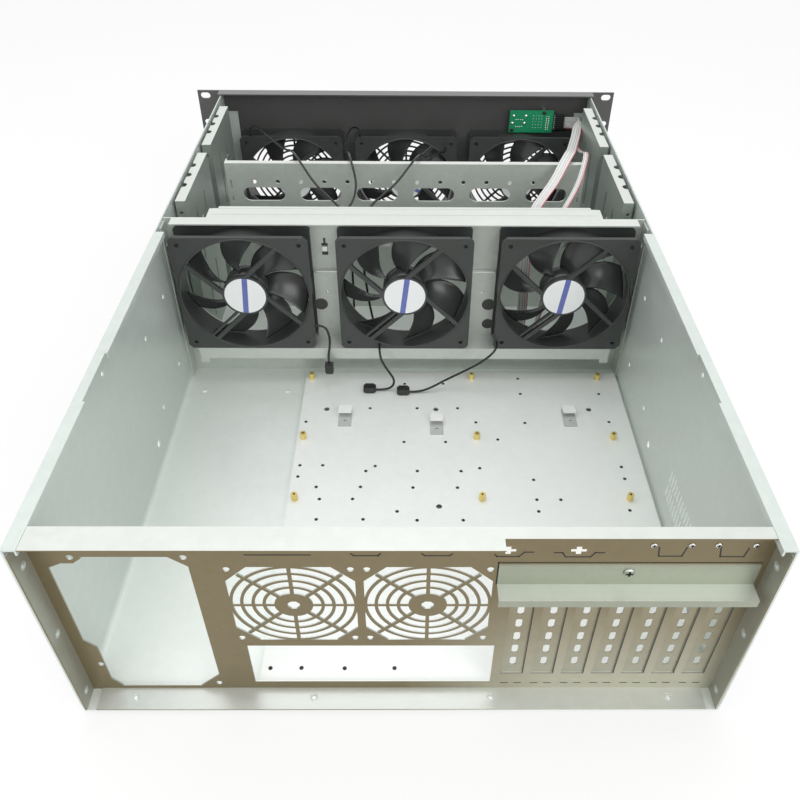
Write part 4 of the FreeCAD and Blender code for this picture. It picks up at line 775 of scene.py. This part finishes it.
# Painted shade: dark discs and strips fill the wall's lead holes and slot, where shade is seen through them.
PIERCING_SHADE = moulded("piercing_shade", (0.045, 0.048, 0.044), (0.105, 0.112, 0.104), 0.7, 0.0)
marks = Form()
for x, z, radius in ((79.0, 86.0, 6.4), (-79.0, 86.0, 6.4), (-79.5, 63.5, 5.6)):
    marks.spin((x, PAD_FACE, z), [(0.0, 0.06), (radius, 0.06), (radius, -0.1), (0.0, -0.1)], "y", 28,
               smooth=False)
for low, high in (((71.1, 149.0), (73.1, 155.2)), ((69.2, 147.2), (75.0, 149.8)),
                  ((69.4, 137.6), (74.8, 141.6))):
    marks.block((low[0], WALL_FACE - 0.1, low[1]), (high[0], WALL_FACE + 0.06, high[1]))
marks.finish("wall_piercing_shade", "zinc_steel", PIERCING_SHADE)
tongue = Form()
tongue.block((69.6, WALL_FACE, 141.8), (74.6, WALL_FACE + 1.4, 147.0))
# Painted highlight: a strip of the bright metal along the top edge of each pressed pad; the small domes
# below are pressings.
for side in (1, -1):
    tongue.block((60.8 * side - 0.6 * (side < 0), PAD_FACE - 3.0, 121.4),
                 (83.2 * side, PAD_FACE + 0.1, 122.6))
    tongue.spin((72.0 * side, PAD_FACE, 100.0), [(0.0, 0.25), (1.2, 0.2), (1.6, 0.0), (0.0, -0.1)], "y", 16)
tongue.finish("wall_pressings_and_pad_highlights", "zinc_steel", BRIGHT, bevel=0.3)


# ---------------------------------------------------------------- fans

# Six 120 mm fans: a moulded frame with a rounded mouth, a rotor of seven curved blades on a hub cup,
# and a round paper label with one plain stripe on the motor.
FAN_PLASTIC = moulded("fan_plastic", (0.034, 0.037, 0.036), (0.056, 0.060, 0.058), 0.40)
BLADE_PLASTIC = moulded("blade_plastic", (0.040, 0.042, 0.042), (0.062, 0.065, 0.065), 0.24, 0.015)
dress(FAN_PLASTIC, *[f"{row}_fan_frame_{i}" for row in ("mid", "front") for i in (1, 2, 3)])
HUB_RADIUS, HUB_FRONT, HUB_BACK = 20.0, 2.2, 20.2
BLADE_TIP, BLADE_MIDDLE = 56.3, 11.2
BLADE_COUNT, BLADE_FRONT = 7, 2.0


def blade(form, centre, turn):
    """A sickle blade: it widens towards its tip, leans forward and flattens as it goes out."""
    columns, rows = 14, 14
    sides = []
    for face in (1, -1):
        grid = []
        for row in range(rows + 1):
            out = row / rows
            radius = HUB_RADIUS - 1.0 + (BLADE_TIP - HUB_RADIUS + 1.0) * out
            middle = radians(-7.0 + 25.0 * out ** 1.3)
            half = radians(14.5 + 1.5 * out + 2.0 * sin(pi * out))
            deep = 8.2 - 2.0 * out
            thick = 1.0 - 0.4 * out
            line = []
            for column in range(columns + 1):
                share = 2 * column / columns - 1
                rounded = share * (1 - 0.10 * max(out - 0.75, 0) * 4 * abs(share) ** 3)
                angle = turn + middle + half * rounded
                camber = 2.2 * (1 - share * share)
                depth = BLADE_MIDDLE + deep * share - camber + face * thick * (1 - share ** 4) ** 0.5
                depth = min(max(depth, BLADE_FRONT), HUB_BACK)
                line.append(form.mesh.verts.new(Vector((centre[0] + radius * cos(angle), centre[1] + depth,
                                                        centre[2] + radius * sin(angle))) * MM))
            grid.append(line)
        sides.append(grid)
    for grid in sides:
        for low, high in zip(grid, grid[1:]):
            for i in range(columns):
                form.face((low[i], low[i + 1], high[i + 1], high[i]), 0, True)
    upper, lower = sides
    for i in range(columns):
        form.face((upper[0][i], upper[0][i + 1], lower[0][i + 1], lower[0][i]))
        form.face((upper[-1][i], upper[-1][i + 1], lower[-1][i + 1], lower[-1][i]))
    for i in range(rows):
        form.face((upper[i][0], upper[i + 1][0], lower[i + 1][0], lower[i][0]))
        form.face((upper[i][-1], upper[i + 1][-1], lower[i + 1][-1], lower[i][-1]))


def rotor(name, body, centre, first_turn):
    """A hub cup with its bearing tube, and the blades round it."""
    form = Form()
    wall = 1.6
    inner = HUB_RADIUS - wall
    form.spin(centre, [(0.0, HUB_FRONT), (HUB_RADIUS - 3.0, HUB_FRONT), (HUB_RADIUS - 0.9, HUB_FRONT + 0.9),
                       (HUB_RADIUS, HUB_FRONT + 3.0), (HUB_RADIUS, HUB_BACK), (inner, HUB_BACK),
                       (inner, HUB_FRONT + wall), (1.5, HUB_FRONT + wall), (1.5, HUB_BACK - 0.8),
                       (0.0, HUB_BACK - 0.8)], steps=48)
    for step in range(BLADE_COUNT):
        blade(form, centre, first_turn + 2 * pi * step / BLADE_COUNT)
    form.finish(name + "_blades", "fan_plastic", BLADE_PLASTIC, body=body, replaces=[name])


def paper_label():
    """White coated paper with one plain blue stripe across it."""
    paint = Material("paper_label")
    across = paint.place.axes()[0] * 1000.0
    cloud = paint.place.noise(120.0, 3.0)
    stripe = 1.0 - across.math("ABSOLUTE").clamp(2.35, 2.6)
    paper = (cloud * 0.6).mix((0.88, 0.90, 0.92), (0.94, 0.94, 0.95))
    blue = cloud.mix((0.10, 0.13, 0.42), (0.17, 0.20, 0.52))
    paint.set("Base Color", stripe.mix(paper, blue))
    paint.set("Roughness", 0.34 + cloud * 0.1)
    paint.bump(cloud, 0.02)
    return paint.data


PAPER_LABEL = paper_label()
FAN_PLACES = {"mid": [(144.2, -30.65, 109.3), (0.0, -30.65, 109.3), (-144.2, -30.65, 109.3)],
              "front": [(134.9, -322.65, 71.9), (0.0, -322.65, 71.9), (-134.9, -322.65, 71.9)]}
LABEL_TILTS = {"mid": (4.5, 6.5, 6.5), "front": (35.0, -60.0, 140.0)}
ROTOR_TURNS = {"mid": (20.0, 34.0, 0.0), "front": (0.0, 17.0, 40.0)}
FAN_DEPTH, LABEL_RADIUS = 25.0, 18.6
LIP_SECTION = [(57.5, -0.6), (58.4, -0.6), (59.3, 0.0), (58.3, 0.35), (57.5, 0.1)]
LABEL_SECTION = [(0.0, 0.14), (LABEL_RADIUS - 0.1, 0.14), (LABEL_RADIUS, 0.1), (LABEL_RADIUS, -0.04),
                 (0.0, -0.04)]
for row, places in FAN_PLACES.items():
    for number, (x, y, z) in enumerate(places):
        rotor(f"{row}_fan_rotor_{number + 1}", f"{row}_rotor_{number + 1}", (x, y, z),
              radians(ROTOR_TURNS[row][number]))
        lip = Form()
        lip.spin((x, y + FAN_DEPTH, z), LIP_SECTION, steps=72)
        lip.finish(f"{row}_fan_lip_{number + 1}", "fan_plastic", FAN_PLASTIC)
        label = Form()
        label.spin((0, 0, 0), LABEL_SECTION, steps=64, smooth=False)
        label = label.finish(f"{row}_fan_label_{number + 1}", "fan_plastic", PAPER_LABEL)
        label.location = Vector((x, y + FAN_DEPTH, z)) * MM
        label.rotation_euler = (0.0, radians(-LABEL_TILTS[row][number]), 0.0)


# ---------------------------------------------------------------- drive bay

# The cross member and four channels against the tray walls, with their rivets.
# Painted reflection: the brackets' folds that face up take the lighter upward sheen tone.
BRACKET_STEEL = sheet_steel("bracket_steel", (0.30, 0.36, 0.32), (0.44, 0.49, 0.45), 0.36, ALONG_Z, 0.45,
                            upper=UPWARD_SHEEN_STEEL)
dress(BRACKET_STEEL, *[f"side_bracket_{i}" for i in range(1, 5)])
BRACKET_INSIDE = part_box("side_bracket_1")[0][0] / MM
bay = Form()
for hand in (1, -1):
    for setback in (440.0, 560.0, 579.0):
        rivet(bay, (BRACKET_INSIDE * hand, DEPTH_TO_REAR - setback, 128.6), "x", 2.2, -0.5 * hand)
bay.finish("bracket_rivets", "zinc_steel", BRIGHT)


# ---------------------------------------------------------------- front panel

# The rack face: black powder paint, three finger guards, and the holes of the control board.
# Painted highlight: faces that point up, such as the front panel's top edge, are painted lighter.
BLACK_PAINT = moulded("black_paint", (0.056, 0.056, 0.055), (0.088, 0.088, 0.086), 0.46, 0.05,
                      upper=(0.18, 0.18, 0.178))
BUTTON_BLACK = moulded("button_black", (0.020, 0.020, 0.020), (0.036, 0.036, 0.036), 0.36)
dress(BLACK_PAINT, "front_panel")
dress(BUTTON_BLACK, "power_button", "reset_button", "board_switches", "pin_header")
PANEL_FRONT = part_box("front_panel")[0][1] / MM
grilles = Form()
for x in (134.9, 0.0, -134.9):
    for number in range(1, 7):
        ring(grilles, (x, 0, 71.9), 13.0 + 44.0 / 7 * number, PANEL_FRONT + 0.1, PANEL_FRONT + 1.4, 72)
grilles.finish("front_guard_rings", "black_paint", BLACK_PAINT)


# ---------------------------------------------------------------- control board

# A small green board on two pillars behind the front panel, with soldered pads, a pin header and the
# plug that the two ribbons share.
BOARD_GREEN = moulded("board_green", (0.008, 0.235, 0.095), (0.018, 0.330, 0.150), 0.30)
SOLDER = sheet_steel("solder", (0.62, 0.64, 0.62), (0.84, 0.86, 0.84), 0.26)
LIGHT_CLEAR = moulded("clear_plastic", (0.70, 0.74, 0.70), (0.82, 0.86, 0.82), 0.20)
dress(BOARD_GREEN, "control_board")
dress(LIGHT_CLEAR, "status_lights")
dress(BRIGHT, "data_socket_1", "data_socket_2", "board_pillars")
dress(PLUG_BLACK, "header_plug", "ribbon_plug")
BOARD_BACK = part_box("control_board")[1][1] / MM
solder = Form()


def joint(x, z, radius, rise):
    solder.spin((x, BOARD_BACK, z), [(0.0, rise), (radius * 0.35, rise * 0.8), (radius * 0.7, rise * 0.3),
                                     (radius, 0.02), (radius, -0.05), (0.0, -0.05)], "y", 12)


for x, z in ((-126.0, 152.3), (-140.3, 152.3), (-124.9, 143.5), (-139.1, 143.5)):
    joint(x, z, 1.9, 1.0)
for row_z in (148.0, 139.4):
    for step in range(4):
        joint(-129.0 - 2.5 * step, row_z, 0.8, 0.7)
for column in range(2):
    for step in range(8):
        joint(-164.6 - 2.54 * column, 151.6 - 2.2 * step, 0.75, 0.7)
for column in range(4):
    for step in range(5):
        joint(-149.0 - 3.3 * column, 152.6 - 3.6 * step, 0.5, 0.4)
solder.finish("board_solder", "bright_metal", SOLDER)

fixings = Form()
for x, z in ((-161.3, 156.4), (-124.9, 135.6)):
    cross_head(fixings, (x, BOARD_BACK, z), 2.4, 1.2)
fixings.finish("board_screws", "bright_metal", BUTTON_BLACK, SHADOW)

pins = Form()
low, high = ([value / MM for value in corner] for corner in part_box("pin_header"))
for step in range(8):
    z = low[2] + 1.6 + 2.4 * step
    pins.block((low[0] + 1.2, high[1] - 0.1, z - 0.55), (low[0] + 2.6, high[1] + 0.5, z + 0.55))
pins.finish("header_pins", "bright_metal", SOLDER, bevel=0.1)
